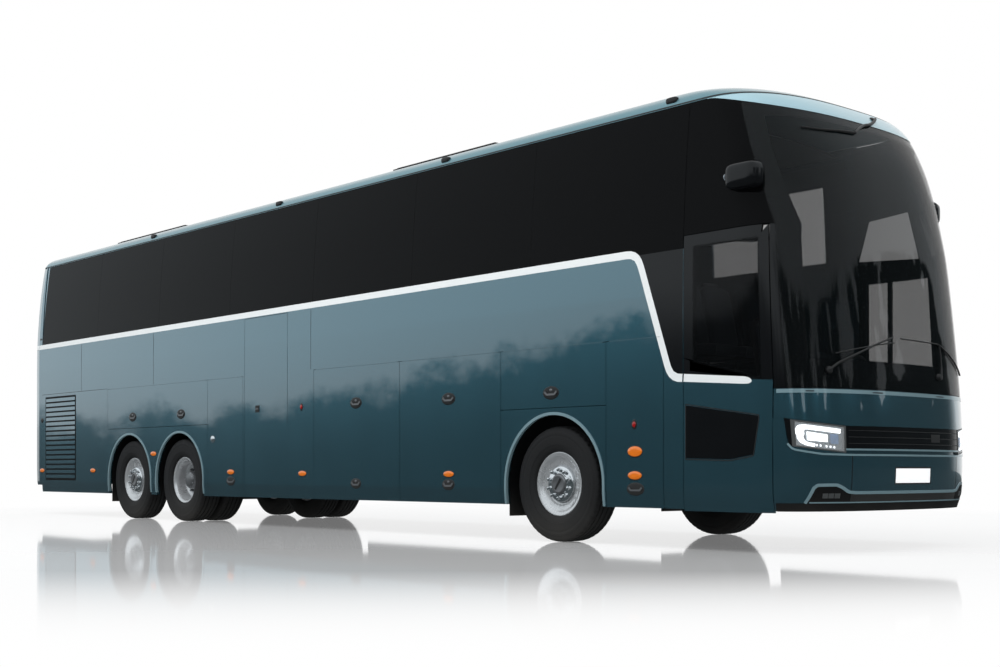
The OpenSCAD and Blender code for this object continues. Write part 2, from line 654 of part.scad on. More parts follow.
// A steering knuckle: two ears around the beam's end, a plate and the wheel's spindle.
module knuckle(side) {
    color([0.2, 0.2, 0.2]) translate([front_x, side * king_y, tyre_r]) {
        difference() {
            union() {
                for (z = [[-195, -136], [6, 65]]) translate([0, 0, z[0]]) {
                    cylinder(h = z[1] - z[0], r = ear_r, $fn = 64);
                    block([-40, side < 0 ? -85 : 0, 0], [40, side < 0 ? 0 : 85, z[1] - z[0]]);
                }
                block([-45, side < 0 ? -90 : 62, -195], [45, side < 0 ? -62 : 90, 65]);
                rod_y(0, 0, spindle_r, side < 0 ? -tyre_y - 40 + king_y : 63, side < 0 ? -63 : tyre_y + 40 - king_y);
            }
            translate([0, 0, -210]) cylinder(h = 300, r = king_r + pin_play, $fn = 64);
        }
    }
}
module knuckle_right() { knuckle(-1); }
module knuckle_left() { knuckle(1); }

// ---- wheels ----
// Half of a tyre's section, as distance from the middle plane and radius.
tyre_half = tyre_w / 2;
function tyre_profile() = let(side = [[tyre_half - 42, rim_r], [tyre_half - 22, rim_r + 12],
        [tyre_half - 4, rim_r + 70], [tyre_half, rim_r + 118], [tyre_half - 3, rim_r + 165],
        [tyre_half - 13, tyre_r - 30], [tyre_half - 32, tyre_r - 7], [tyre_half - 60, tyre_r]])
    concat(side, [for (i = [len(side) - 1:-1:0]) [-side[i][0], side[i][1]]]);

// Turns a section of [place along the axle, radius] around the axle through a wheel's centre.
module turned(x, y, side, outline) {
    translate([x, y, tyre_r]) rotate([side < 0 ? 90 : -90, 0, 0])
        rotate_extrude($fn = 96) polygon([for (p = outline) [p[1], p[0]]]);
}
module tyre(x, y, side) {
    color([0.05, 0.05, 0.05]) turned(x, y, side, tyre_profile());
}

hand_holes = 10;
hand_hole_r = 26;
bead = rim_r - seat_gap;
flange_y = tyre_half - 40;
// Rims as sections of [place along the axle, radius], outward positive. A single wheel carries its disc outside.
hub_in = -50;
function single_profile() = [
    [-flange_y, bead], [-flange_y, bead - 24], [-60, bead - 40], [20, bead - 40], [50, bead - 62],
    [50, 175], [34, 150], [hub_in, 110], [hub_in, spindle_r + pin_play],
    [44, spindle_r + pin_play], [44, 0], [128, 0], [128, 70], [112, 100], [92, 118], [52, 124], [52, 150],
    [70, 178], [70, bead - 64], [58, bead - 30], [flange_y, bead - 22], [flange_y, bead]];
// A twin wheel: the outer rim's disc lies deep inside, and a hub stands out of it.
deep_disc = -96;
function deep_profile() = [
    [-flange_y, bead], [-flange_y, bead - 22], [deep_disc + 4, bead - 40], [deep_disc, 160],
    [deep_disc, spindle_r + pin_play], [44, spindle_r + pin_play], [44, 0], [60, 0], [60, 80], [40, 104], [-60, 124], [-72, 150], [-72, bead - 62],
    [-40, bead - 34], [70, bead - 34], [flange_y, bead - 22], [flange_y, bead]];
// The inner rim's disc stands out to the outer one's.
twin_reach = tyre_y - twin_y + deep_disc - seat_gap;
function inner_twin_profile() = [
    [-flange_y, bead], [-flange_y, bead - 22], [flange_y - 30, bead - 34], [flange_y - 14, 175],
    [twin_reach - 16, 150], [twin_reach - 16, spindle_r + 35], [twin_reach, spindle_r + 35],
    [twin_reach, 165], [flange_y + 6, 190], [flange_y, bead - 30], [flange_y, bead]];

module hand_hole_ring(x, y, r) {
    for (i = [0:hand_holes - 1]) let(a = 360 / hand_holes * (i + 0.5))
        rod_y(x + r * cos(a), tyre_r + r * sin(a), hand_hole_r, y - 100, y + 100);
}
module single_rim(x, side) {
    color(steel) difference() {
        turned(x, side * tyre_y, side, single_profile());
        hand_hole_ring(x, side * tyre_y, 198);
    }
}
module twin_rims(side) {
    color(steel) {
        difference() {
            turned(drive_x, side * tyre_y, side, deep_profile());
            hand_hole_ring(drive_x, side * (tyre_y - 82), 198);
        }
        turned(drive_x, side * twin_y, side, inner_twin_profile());
    }
}

module front_rim_right() { single_rim(front_x, -1); }
module front_rim_left() { single_rim(front_x, 1); }
module tag_rim_right() { single_rim(tag_x, -1); }
module tag_rim_left() { single_rim(tag_x, 1); }
module front_tyre_right() { tyre(front_x, -tyre_y, -1); }
module front_tyre_left() { tyre(front_x, tyre_y, 1); }
module tag_tyre_right() { tyre(tag_x, -tyre_y, -1); }
module tag_tyre_left() { tyre(tag_x, tyre_y, 1); }
module drive_rims_right() { twin_rims(-1); }
module drive_rims_left() { twin_rims(1); }
module drive_tyres_right() { for (y = [-tyre_y, -twin_y]) tyre(drive_x, y, -1); }
module drive_tyres_left() { for (y = [tyre_y, twin_y]) tyre(drive_x, y, 1); }

// ---- doors ----
door_in = half_w - wall;   // the doors' inner face
post_x = front_door_foot - 110;
post_y = -half_w + 165;
tip_x = post_x - door_arm_len;
arm_r = 20;
arm_bow = 200;
pin_r = 12;
ARM_HEIGHTS = [panel_z + 245, front_door_top - 50];
ear_t = 18;
eye_half = 20;
ear_gap = 4;   // between an arm's eye and the ears around it
glass_upper = [[front_door_x + 105, screen_z + 255], [front_door_foot - 105, screen_z + 85],
    [front_door_foot - 145, front_door_top - 100], [front_door_x + 105, front_door_top - 100]];
glass_lower = [[front_door_x + 21, panel_z + 127], [front_door_foot - 118, panel_z + 22],
    [front_door_foot - 176, bumper_z - 4], [front_door_foot - 402, bumper_z - 38], [front_door_x + 21, bumper_z - 27]];
module door_skin(outer, inner) {
    nose_patch(door_sill_z, front_door_top, outer, inner,
        right_s(at(front_door_x)), right_s(door_front), 8);
}
module front_door() {
    color(paint) {
        difference() {
            door_skin(0, wall);
            through_side(-1, glass_upper);
            through_side(-1, glass_lower);
        }
        for (z = ARM_HEIGHTS) {
            for (foot = [z - eye_half - ear_gap - ear_t, z + eye_half + ear_gap]) {
                block([tip_x - 25, -door_in - 5, foot], [tip_x + 25, post_y, foot + ear_t]);
                translate([tip_x, post_y, foot]) cylinder(h = ear_t, r = 25, $fn = 48);
            }
            translate([tip_x, post_y, z - eye_half - ear_gap - 1])
                cylinder(h = 2 * (eye_half + ear_gap + 1), r = pin_r, $fn = 48);
        }
    }
}
module front_door_glass() {
    color(dark_glass) for (outline = [glass_upper, glass_lower]) intersection() {
        door_skin(4, 4 + glass);
        through_side(-1, [for (p = outline) let(c = [(outline[0][0] + outline[2][0]) / 2,
            (outline[0][1] + outline[2][1]) / 2]) p + 0.8 * (c - p) / norm(c - p)]);
    }
}
// The post turns in the stairwell, and two bowed arms lead from it to the door.
module front_door_arms() {
    color([0.1, 0.1, 0.1]) {
        translate([post_x, post_y, step_top(0) + seat_gap])
            cylinder(h = front_door_top - step_top(0) + 40, r = arm_r, $fn = 48);
        for (z = ARM_HEIGHTS) difference() {
            union() {
                bar([post_x, post_y], [post_x - 110, post_y + arm_bow], z);
                bar([post_x - 110, post_y + arm_bow], [tip_x + 90, post_y + arm_bow * 0.75], z);
                bar([tip_x + 90, post_y + arm_bow * 0.75], [tip_x, post_y], z);
                translate([tip_x, post_y, z - eye_half]) cylinder(h = 2 * eye_half, r = 25, $fn = 48);
            }
            translate([tip_x, post_y, z - 50]) cylinder(h = 100, r = pin_r + pin_play, $fn = 48);
        }
    }
}
// A flat bar with round ends between two plan points at one height.
module bar(p, q, z) {
    d = q - p;
    translate([p[0], p[1], z - 16]) rotate([0, 0, atan2(d[1], d[0])])
        translate([0, -12, 0]) cube([norm(d), 24, 32]);
    for (e = [p, q]) translate([e[0], e[1], z - 17]) cylinder(h = 34, r = 16, $fn = 32);
}

module mid_door() {
    color(paint) {
        side_slab(-1, 0, wall, mid_door_x, mid_door_end, skirt_z, mid_door_top);
        translate([mid_door_end + door_gap / 2, -half_w, 520]) {
            cylinder(h = 1500, r = barrel_r, $fn = 24);
            translate([-leaf, 0.2, 0]) cube([leaf, 1.5, 1500]);
        }
    }
}

module luggage_door_right_1() { flap("luggage_door_right_1"); }
module luggage_door_right_2() { flap("luggage_door_right_2"); }
module luggage_door_left_1() { flap("luggage_door_left_1"); }
module luggage_door_left_2() { flap("luggage_door_left_2"); }
module flap_front_right() { flap("flap_front_right"); }
module flap_rear_right() { flap("flap_rear_right"); }
module flap_front_left() { flap("flap_front_left"); }
module flap_rear_left() { flap("flap_rear_left"); }
module service_door_front() { flap("service_door_front"); }
module service_door_mid() { flap("service_door_mid"); }

// ---- inside ----
seat_w = 900;
seat_edge = half_w - wall - 70;
module double_seat(x, y0, w) {
    across([[x, deck_z], [x + 380, deck_z], [x + 400, deck_z + 330], [x + 450, deck_z + 350],
        [x + 450, deck_z + 450], [x + 20, deck_z + 440], [x - 150, deck_z + 1120], [x - 250, deck_z + 1130],
        [x - 90, deck_z + 350], [x, deck_z + 330]], y0, y0 + w);
}
seat_x1 = deck_x1 - 560;
module seats() {
    color([0.15, 0.17, 0.2]) {
        for (x = [seat_x1:-seat_pitch:-half_len + 900])
            for (side = [-1, 1]) if (side > 0 || x < mid_door_x - 500 || x > mid_door_end + 350)
                double_seat(x, side < 0 ? -seat_edge : seat_edge - seat_w, seat_w);
        translate([0, 0, driver_floor_z - deck_z]) double_seat(half_len - 1750, 330, 520);
    }
}

dash_x0 = half_len - 900;
dash_x1 = half_len - 300;
wheel_y = 560;
module dashboard() {
    color([0.1, 0.1, 0.11]) {
        across([[dash_x0 + 160, driver_floor_z], [dash_x1 - 60, driver_floor_z], [dash_x1 - 60, screen_z + 120],
            [dash_x0 + 190, screen_z + 190], [dash_x0, screen_z + 110], [dash_x0, screen_z - 20]], stair_y + 40, 880);
        translate([dash_x0 - 70, wheel_y, screen_z + 180]) rotate([0, -65, 0]) {
            rotate_extrude($fn = 48) translate([215, 0]) circle(r = 15, $fn = 24);
            for (a = [30, 150, 270]) rotate([0, 0, a]) translate([0, -14, -8]) cube([212, 28, 16]);
            rotate([0, 0, 0]) translate([0, 0, -190]) cylinder(h = 205, r = 38, $fn = 32);
        }
    }
}

// Camera pods in place of mirrors, on short arms from the front pillars.
pod_z = [2830, 3060];
module mirrors() {
    color(black) for (side = [-1, 1]) {
        y0 = half_w - section(pod_z[1], 1) + 15;
        mirror([0, side < 0 ? 1 : 0, 0]) {
            hull() {
                block([half_len - 860, y0 + 25, pod_z[0] + 30], [half_len - 520, y0 + 120, pod_z[1] - 30]);
                block([half_len - 810, y0, pod_z[0]], [half_len - 590, y0 + 95, pod_z[1]]);
            }
            nose_patch(pod_z[0] + 70, pod_z[1] - 70, -50, -2.5 * seat_gap,
                left_s(at(half_len - 640)), left_s(at(half_len - 800)), 3);
        }
    }
}

// ---- wipers ----
// A closed tube of eight sides through a list of points on the windscreen.
function unit(v) = v / norm(v);
module tube(points, r) {
    n = len(points);
    sides = 8;
    rings = [for (i = [0:n - 1]) let(
            d = unit(points[min(i + 1, n - 1)] - points[max(i - 1, 0)]),
            u = unit(cross(d, [0, 0, 1] + [0.01, 0, 0])), v = cross(u, d))
        for (k = [0:sides - 1]) points[i] + r * (cos(45 * k) * u + sin(45 * k) * v)];
    skin = [for (i = [0:n - 2]) for (k = [0:sides - 1]) let(m = (k + 1) % sides) for (f = [
        [i * sides + k, i * sides + m, (i + 1) * sides + m],
        [i * sides + k, (i + 1) * sides + m, (i + 1) * sides + k]]) f];
    ends = [[for (k = [sides - 1:-1:0]) k], [for (k = [0:sides - 1]) (n - 1) * sides + k]];
    polyhedron(rings, concat(skin, ends));
}
wiper_r = 12;
// Each wiper's pivot, and its blade's two ends, as [s, height] on the windscreen. The arm ends at the blade's middle.
WIPERS = [[[-0.42, 1400], [-0.30, 1570], [0.02, 1530]], [[0.10, 1400], [0.18, 1570], [0.50, 1490]]];
// The row of points between two of those places.
function on_screen(p, q, off) = [for (i = [0:6]) let(m = p + (q - p) * i / 6) nose_point(m[1], m[0], off)];
module wipers() {
    off = -wiper_r - 4;
    color(black) for (w = WIPERS) {
        tube(on_screen(w[0], (w[1] + w[2]) / 2, off), wiper_r);
        tube(on_screen(w[1], w[2], off), wiper_r);
        difference() {
            tube([nose_point(w[0][1], w[0][0], off), nose_point(w[0][1], w[0][0], glass)], 2 * wiper_r);
            screen_patch(-seat_gap, 2 * wall);
        }
    }
}

underframe();
cabin_floor();
wheel_liners();
right_wall();
left_wall();
roof_panel();
roof_hatches();
front_panel();
front_bumper();
lamp_units();
windscreen();
front_pillars();
body_glass();
rear_panel();
engine_block();
axle_beams();
dashboard();
seats();
mirrors();
wipers();
knuckle_right();
knuckle_left();
front_rim_right();
front_tyre_right();
front_rim_left();
front_tyre_left();
drive_rims_right();
drive_tyres_right();
drive_rims_left();
drive_tyres_left();
tag_rim_right();
tag_tyre_right();
tag_rim_left();
tag_tyre_left();
front_door();
front_door_glass();
front_door_arms();
mid_door();
luggage_door_right_1();
luggage_door_right_2();
luggage_door_left_1();
luggage_door_left_2();
flap_front_right();
flap_rear_right();
flap_front_left();
flap_rear_left();
service_door_front();
service_door_mid();
engine_lid();
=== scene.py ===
import math

import bmesh
import bpy
import numpy as np
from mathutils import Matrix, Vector


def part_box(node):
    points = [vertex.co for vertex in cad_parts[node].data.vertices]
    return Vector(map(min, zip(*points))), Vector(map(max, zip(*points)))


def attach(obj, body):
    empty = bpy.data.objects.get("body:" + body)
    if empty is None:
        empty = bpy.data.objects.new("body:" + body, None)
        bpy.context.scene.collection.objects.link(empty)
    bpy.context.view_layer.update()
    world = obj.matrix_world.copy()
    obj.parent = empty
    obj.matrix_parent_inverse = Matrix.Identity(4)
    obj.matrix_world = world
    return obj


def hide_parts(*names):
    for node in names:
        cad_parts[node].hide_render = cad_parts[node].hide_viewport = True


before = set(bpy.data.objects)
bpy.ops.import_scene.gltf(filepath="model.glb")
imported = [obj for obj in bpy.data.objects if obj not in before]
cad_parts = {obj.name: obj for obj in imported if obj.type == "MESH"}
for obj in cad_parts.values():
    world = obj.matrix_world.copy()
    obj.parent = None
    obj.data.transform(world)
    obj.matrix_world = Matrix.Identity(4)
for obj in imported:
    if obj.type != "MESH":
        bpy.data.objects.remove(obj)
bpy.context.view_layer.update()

# ---- the body's form, in metres ----
ROOF_Z, HALF_W, HALF_LEN, NOSE, TAIL = 3.85, 1.275, 7.05, 0.6, 0.22
NOSE_POWER, TAIL_POWER = 2 / 2.7, 2 / 4.5
SCREEN_Z, SILL_Z, CORNICE_Z, DOOR_TOP = 1.275, 2.45, 3.65, 2.55
PANEL_Z, BUMPER_Z, SKIRT_Z = 1.045, 0.77, 0.33
WALL_X0, WALL_X1, DOOR_X0, SIDE_X1 = -6.73, 5.73, 5.735, 6.40
FRONT_X, DRIVE_X, TAG_X = 4.2, -2.6, -3.95
TYRE_R, TYRE_Y, TWIN_Y = 0.522, 1.0855, 0.7455
DECK_Z, DRIVER_Z = 1.4, 0.95

# Height over the roof's, half width lost, nose set back, tail set forward (mm).
SECTIONS = np.array([[.0800, 14, 55, 55], [.1247, 0, 10, 10], [.1818, 0, 0, 0], [.26, 0, 5, 0],
    [.33, 0, 20, 0], [.4545, 0, 65, 0], [.5455, 0, 105, 0], [.6364, 3, 150, 0], [.70, 13, 195, 5],
    [.766, 27, 250, 15], [.831, 45, 320, 30], [.883, 63, 400, 50], [.916, 76, 465, 65],
    [.9351, 84, 520, 78], [.9485, 90, 575, 90], [.9636, 112, 690, 125], [.9766, 165, 860, 180],
    [.9857, 255, 1080, 250], [.9935, 400, 1350, 350], [.9977, 610, 1700, 500], [1, 920, 2150, 750]])


def level(z, column):
    """Smooth curve through a column of SECTIONS: cubic pieces whose slopes are the harmonic means of the
    chords on either side, so that the curve never swings past a row."""
    x, y = SECTIONS[:, 0] * ROOF_Z, SECTIONS[:, column] / 1000
    h, chord = np.diff(x), np.diff(y) / np.diff(x)
    slope = np.zeros_like(y)
    both = chord[:-1] * chord[1:] > 0
    total = np.where(both, chord[:-1] + chord[1:], 1)
    slope[1:-1] = np.where(both, 2 * chord[:-1] * chord[1:] / total, 0)
    slope[0], slope[-1] = chord[0], chord[-1]
    z = np.clip(z, x[0], x[-1])
    i = np.clip(np.searchsorted(x, z) - 1, 0, len(h) - 1)
    t = (z - x[i]) / h[i]
    return (y[i] * (1 + 2 * t) * (1 - t) ** 2
            + y[i + 1] * t * t * (3 - 2 * t) + h[i] * t * (1 - t) * (slope[i] * (1 - t) - slope[i + 1] * t))


def plan(z, s, t, start, depth, power, way):
    """A point of the plan's rounded end at height z: along, |cos a|^power of the depth from start; across,
    |sin a|^power of the half width; a = 90 degrees times s. Past |s| = 1 it runs straight along the side.
    t is the depth under the skin, and near the roof it lowers the point too."""
    z, s, t = np.broadcast_arrays(np.asarray(z, float), s, t)
    a = np.clip(s, -1, 1) * math.pi / 2
    x = start + way * ((depth - t) * np.abs(np.cos(a)) ** power - np.maximum(np.abs(s) - 1, 0))
    y = (HALF_W - level(z, 1) - t) * np.sign(np.sin(a)) * np.abs(np.sin(a)) ** power
    return np.stack([x, y, z - t * np.clip((z / ROOF_Z - 0.93) / 0.055, 0, 1)], -1)


def nose(s, z, t=0.0):
    return plan(z, s, t, HALF_LEN - level(z, 2) - NOSE, NOSE, NOSE_POWER, 1)


def tail(s, z, t=0.0):
    return plan(z, s, t, -HALF_LEN + level(z, 3) + TAIL, TAIL, TAIL_POWER, -1)


def nose_s(x, z):
    """The nose's s where its skin is at x."""
    ahead = (x - (HALF_LEN - level(z, 2) - NOSE)) / NOSE
    return np.where(ahead > 0, np.arccos(np.clip(ahead, 0, 1) ** (1 / NOSE_POWER)) * 2 / math.pi,
        1 - ahead * NOSE)


def right(x, z, t=0.0):
    return nose(-nose_s(x, z), z, t)


def left(x, z, t=0.0):
    return nose(nose_s(x, z), z, t)


def across_s(y, z, power):
    return np.sign(y) * np.arcsin(np.clip(np.abs(y) / (HALF_W - level(z, 1)), 0,
        1) ** (1 / power)) * 2 / math.pi


def front(y, z, t=0.0):
    return nose(across_s(y, z, NOSE_POWER), z, t)


def back(y, z, t=0.0):
    return tail(across_s(y, z, TAIL_POWER), z, t)


# ---- mesh work ----
class Shape:
    """The points and faces gathered for one piece."""

    def __init__(self):
        self.points, self.faces, self.count = [], [], 0

    def put(self, points):
        first = self.count
        points = np.asarray(points, float).reshape(-1, 3)
        self.points.append(points)
        self.count += len(points)
        return first

    def quads(self, first, rows, cols, close_rows=False, close_cols=False):
        """Quads of a grid counted row by row; a closed grid joins its last line to its first."""
        r, c = np.meshgrid(np.arange(rows - (not close_rows)), np.arange(cols - (not close_cols)),
            indexing="ij")
        r1, c1 = (r + 1) % rows, (c + 1) % cols
        q = np.stack([r * cols + c, r * cols + c1, r1 * cols + c1, r1 * cols + c], -1).reshape(-1,
            4) + first
        self.faces += q.tolist()

    def grid(self, p, close_rows=False, close_cols=False):
        first = self.put(p)
        self.quads(first, p.shape[0], p.shape[1], close_rows, close_cols)
        return first

    def tube_grid(self, p):
        """A grid closed round its columns, with both open ends covered."""
        rows, cols = p.shape[:2]
        first = self.grid(p, close_cols=True)
        self.faces.append(list(range(first, first + cols)))
        self.faces.append(list(range(first + (rows - 1) * cols, first + rows * cols)))

    def slab(self, outer, inner):
        """Two grids of one size with their borders joined: a closed sheet with thickness."""
        rows, cols = outer.shape[:2]
        first = self.grid(outer)
        self.grid(inner)
        n = rows * cols
        ids = np.arange(n).reshape(rows, cols)
        loop = np.concatenate([ids[0, :-1], ids[:-1, -1], ids[-1, :0:-1], ids[:0:-1, 0]]) + first
        nxt = np.roll(loop, -1)
        self.faces += np.stack([loop, nxt, nxt + n, loop + n], -1).tolist()

    def mirror(self):
        """The same shape on the other side, with y turned round."""
        other = Shape()
        other.points = [p * (1, -1, 1) for p in self.points]
        other.faces, other.count = [f[::-1] for f in self.faces], self.count
        return other

    def join(self, other):
        first = self.count
        for p in other.points:
            self.put(p)
        self.faces += [[i + first for i in f] for f in other.faces]
        return self


def build(name, shape, material, body="root", slot="black_trim", *nodes, angle=35):
    """Makes the mesh, merges doubles, turns faces outward and smooths below the angle."""
    mesh = bpy.data.meshes.new(name)
    mesh.from_pydata(np.concatenate(shape.points).tolist(), [], shape.faces)
    bm = bmesh.new()
    bm.from_mesh(mesh)
    bmesh.ops.remove_doubles(bm, verts=bm.verts, dist=2e-5)
    bmesh.ops.dissolve_degenerate(bm, edges=bm.edges, dist=1e-6)
    bmesh.ops.recalc_face_normals(bm, faces=bm.faces)
    bm.to_mesh(mesh)
    bm.free()
    mesh.polygons.foreach_set("use_smooth", [True] * len(mesh.polygons))
    mesh.set_sharp_from_angle(angle=math.radians(angle))
    piece = bpy.data.objects.new(name, mesh)
    bpy.context.scene.collection.objects.link(piece)
    mesh.materials.append(material)
    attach(piece, body)
    if nodes:
        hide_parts(*nodes)
    return piece


def clipped(shape, *planes):
    """The part of a closed shape ahead of planes, each a point and a normal, with its cuts closed."""
    mesh = bpy.data.meshes.new("clip")
    mesh.from_pydata(np.concatenate(shape.points).tolist(), [], shape.faces)
    bm = bmesh.new()
    bm.from_mesh(mesh)
    bpy.data.meshes.remove(mesh)
    bmesh.ops.remove_doubles(bm, verts=bm.verts, dist=2e-5)
    for point, normal in planes:
        whole = bm.verts[:] + bm.edges[:] + bm.faces[:]
        cut = bmesh.ops.bisect_plane(bm, geom=whole, plane_co=point, plane_no=normal, clear_inner=True)
        rim = [e for e in cut["geom_cut"] if isinstance(e, bmesh.types.BMEdge)]
        if rim:
            bmesh.ops.edgeloop_fill(bm, edges=rim)
    bm.verts.index_update()
    part = Shape()
    part.put([tuple(v.co) for v in bm.verts])
    part.faces = [[v.index for v in f.verts] for f in bm.faces]
    bm.free()
    return part


def shared_with_door(name, shape, material, slot, door):
    """A piece of the body's side whose part over a door rides that door. The left side has it whole."""
    low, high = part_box(door)
    edge, top = (high[0] + 0.002, 0, 0), (0, 0, high[2] + 0.002)
    on_door = clipped(shape, (edge, (-1, 0, 0)), (top, (0, 0, -1)))
    fixed = clipped(shape, (edge, (1, 0, 0))).join(clipped(shape, (edge, (-1, 0, 0)), (top, (0, 0, 1))))
    build(name + "_right", fixed, material, "root", slot)
    build(name + "_on_door", on_door, material, door, slot)
    build(name + "_left", shape.mirror(), material, "root", slot)


def pair(name, shape, material, body="root", slot="black_trim"):
    """A piece on the right side and its mirror on the left one. The body's name may hold SIDE."""
    build(name + "_right", shape, material, body.replace("SIDE", "right"), slot)
    build(name + "_left", shape.mirror(), material, body.replace("SIDE", "left"), slot)


def sample(line, u):
    """Points of a broken line at shares u of its length."""
    line = np.asarray(line, float)
    step = np.linalg.norm(np.diff(line, axis=0), axis=1)
    at = np.concatenate([[0], np.cumsum(step)]) / step.sum()
    return np.stack([np.interp(u, at, line[:, k]) for k in range(line.shape[1])], -1)


def area(place, low, high, t0, t1, rows=12, cols=12, shape=None):
    """A ruled sheet laid on the skin between two broken lines, from depth t0 (outer) to t1 (inner)."""
    shape = shape or Shape()
    u = np.linspace(0, 1, cols)
    v = np.linspace(0, 1, rows)[:, None, None]
    flat = sample(low, u)[None] * (1 - v) + sample(high, u)[None] * v
    a, b = flat[..., 0], flat[..., 1]
    shape.slab(place(a, b, t0), place(a, b, t1))
    return shape


def box_on(place, a0, a1, b0, b1, t0, t1, rows=6, cols=6, shape=None):
    return area(place, [(a0, b0), (a1, b0)], [(a0, b1), (a1, b1)], t0, t1, rows, cols, shape)


def ribbon(place, path, width, t0, t1, n=80, shape=None):
    """A strip along a path on the skin: the path plus and minus half its width along its normal."""
    p = sample(path, np.linspace(0, 1, n))
    d = np.gradient(p, axis=0)
    normal = np.stack([-d[:, 1], d[:, 0]], -1) / np.linalg.norm(d, axis=1)[:, None]
    w = np.broadcast_to(np.asarray(width, float), (n,))[:, None] / 2
    return area(place, p - normal * w, p + normal * w, t0, t1, 3, n, shape)


def disc_on(place, a, b, ra, rb, t0, t1, shape=None, n=20):
    """An oval button on the skin: rings from its middle to its rim, rounded over, down to its foot."""
    shape = shape or Shape()
    ang = np.linspace(0, 2 * math.pi, n, endpoint=False)[None]
    r = np.array([0.001, 0.45, 0.8, 0.95, 1, 1])[:, None]
    t = np.array([0, 0, 0.1, 0.4, 0.8, 1])[:, None] * (t1 - t0) + t0
    p = place(a + ra * r * np.cos(ang), b + rb * r * np.sin(ang), t + 0 * ang)
    shape.tube_grid(p)
    return shape


def tube(path, radius, shape=None, sides=10):
    """A round tube along a path: a circle of that radius across each point's direction."""
    shape = shape or Shape()
    p = np.asarray(path, float)
    d = np.gradient(p, axis=0)
    d /= np.linalg.norm(d, axis=1)[:, None]
    u = np.cross(d, [0.02, 0.03, 1.0])
    u /= np.linalg.norm(u, axis=1)[:, None]
    v = np.cross(d, u)
    ang = np.linspace(0, 2 * math.pi, sides, endpoint=False)
    r = np.broadcast_to(np.asarray(radius, float), (len(p),))[:, None, None]
    ring = u[:, None] * np.cos(ang)[None, :, None] + v[:, None] * np.sin(ang)[None, :, None]
    shape.tube_grid(p[:, None] + r * ring)
    return shape


def pillow(centre, half, lean=0.0, round_a=0.5, round_b=0.5, grooves=0, shape=None, n=20, m=12):
    """A crowned closed form: powers of sine and cosine round two angles, with sewn channels across its
    width, then leant back about the y axis by lean radians."""
    shape = shape or Shape()
    a = np.linspace(0, 2 * math.pi, n, endpoint=False)[None]
    b = np.linspace(-math.pi / 2, math.pi / 2, m)[:, None]
    f = lambda w, e: np.sign(w) * np.abs(w) ** e
    x = f(np.cos(b), round_b) * f(np.cos(a), round_a) + 0 * a
    y = f(np.cos(b), round_b) * f(np.sin(a), round_a)
    z = f(np.sin(b), round_b) + 0 * a
    if grooves:
        x = x * (1 - 0.12 * np.exp(-((np.sin(y * math.pi * grooves / 2)) / 0.25) ** 2))
    p = np.stack([x * half[0], y * half[1], z * half[2]], -1)
    c, s = math.cos(lean), math.sin(lean)
    p = np.stack([p[..., 0] * c - p[..., 2] * s, p[..., 1], p[..., 0] * s + p[..., 2] * c], -1)
    shape.tube_grid(p + np.asarray(centre, float))
    return shape


def lathe(x, y, side, profile, shape=None, n=96, wobble=None):
    """A closed profile of (place outward along the axle, radius) turned round an axle through (x, y)."""
    shape = shape or Shape()
    q = np.asarray(profile, float)
    ang = np.linspace(0, 2 * math.pi, n, endpoint=False)[None]
    w, r = q[:, :1] + 0 * ang, q[:, 1:] + 0 * ang
    if wobble is not None:
        r = r - wobble(w, r, ang)
    p = np.stack([x + r * np.cos(ang), y + side * w, TYRE_R + r * np.sin(ang)], -1)
    shape.grid(p, close_rows=True, close_cols=True)
    return shape


# ---- materials ----
def shader_group(name, inputs, outputs):
    tree = bpy.data.node_groups.new(name, "ShaderNodeTree")
    for way, sockets in (("INPUT", inputs), ("OUTPUT", outputs)):
        for label, kind, value in sockets:
            s = tree.interface.new_socket(name=label, in_out=way, socket_type="NodeSocket" + kind)
            if value is not None:
                s.default_value = value
    return tree, tree.nodes.new("NodeGroupInput"), tree.nodes.new("NodeGroupOutput")


def node(tree, kind, links=(), **values):
    """Adds a node; values with a capital letter set sockets, others set properties."""
    n = tree.nodes.new("ShaderNode" + kind)
    for key, value in values.items():
        if key[0].isupper() or key[0] == "_":
            label = key.strip("_").replace("_", " ")
            n.inputs[int(label) if label.isdigit() else label].default_value = value
        else:
            setattr(n, key, value)
    for socket, source in links:
        tree.links.new(source, n.inputs[socket])
    return n


def maths(tree, kind, a, b=None, c=None, clamp=False):
    n = tree.nodes.new("ShaderNodeMath")
    n.operation, n.use_clamp = kind, clamp
    for i, value in enumerate((a, b, c)):
        if value is None:
            continue
        if isinstance(value, (int, float)):
            n.inputs[i].default_value = value
        else:
            tree.links.new(value, n.inputs[i])
    return n.outputs[0]


def blend(tree, fac, a, b, kind="MIX"):
    n = tree.nodes.new("ShaderNodeMix")
    n.data_type, n.blend_type = "RGBA", kind
    for i, value in ((0, fac), (6, a), (7, b)):
        if isinstance(value, (int, float, tuple)):
            n.inputs[i].default_value = value
        else:
            tree.links.new(value, n.inputs[i])
    return n.outputs[2]


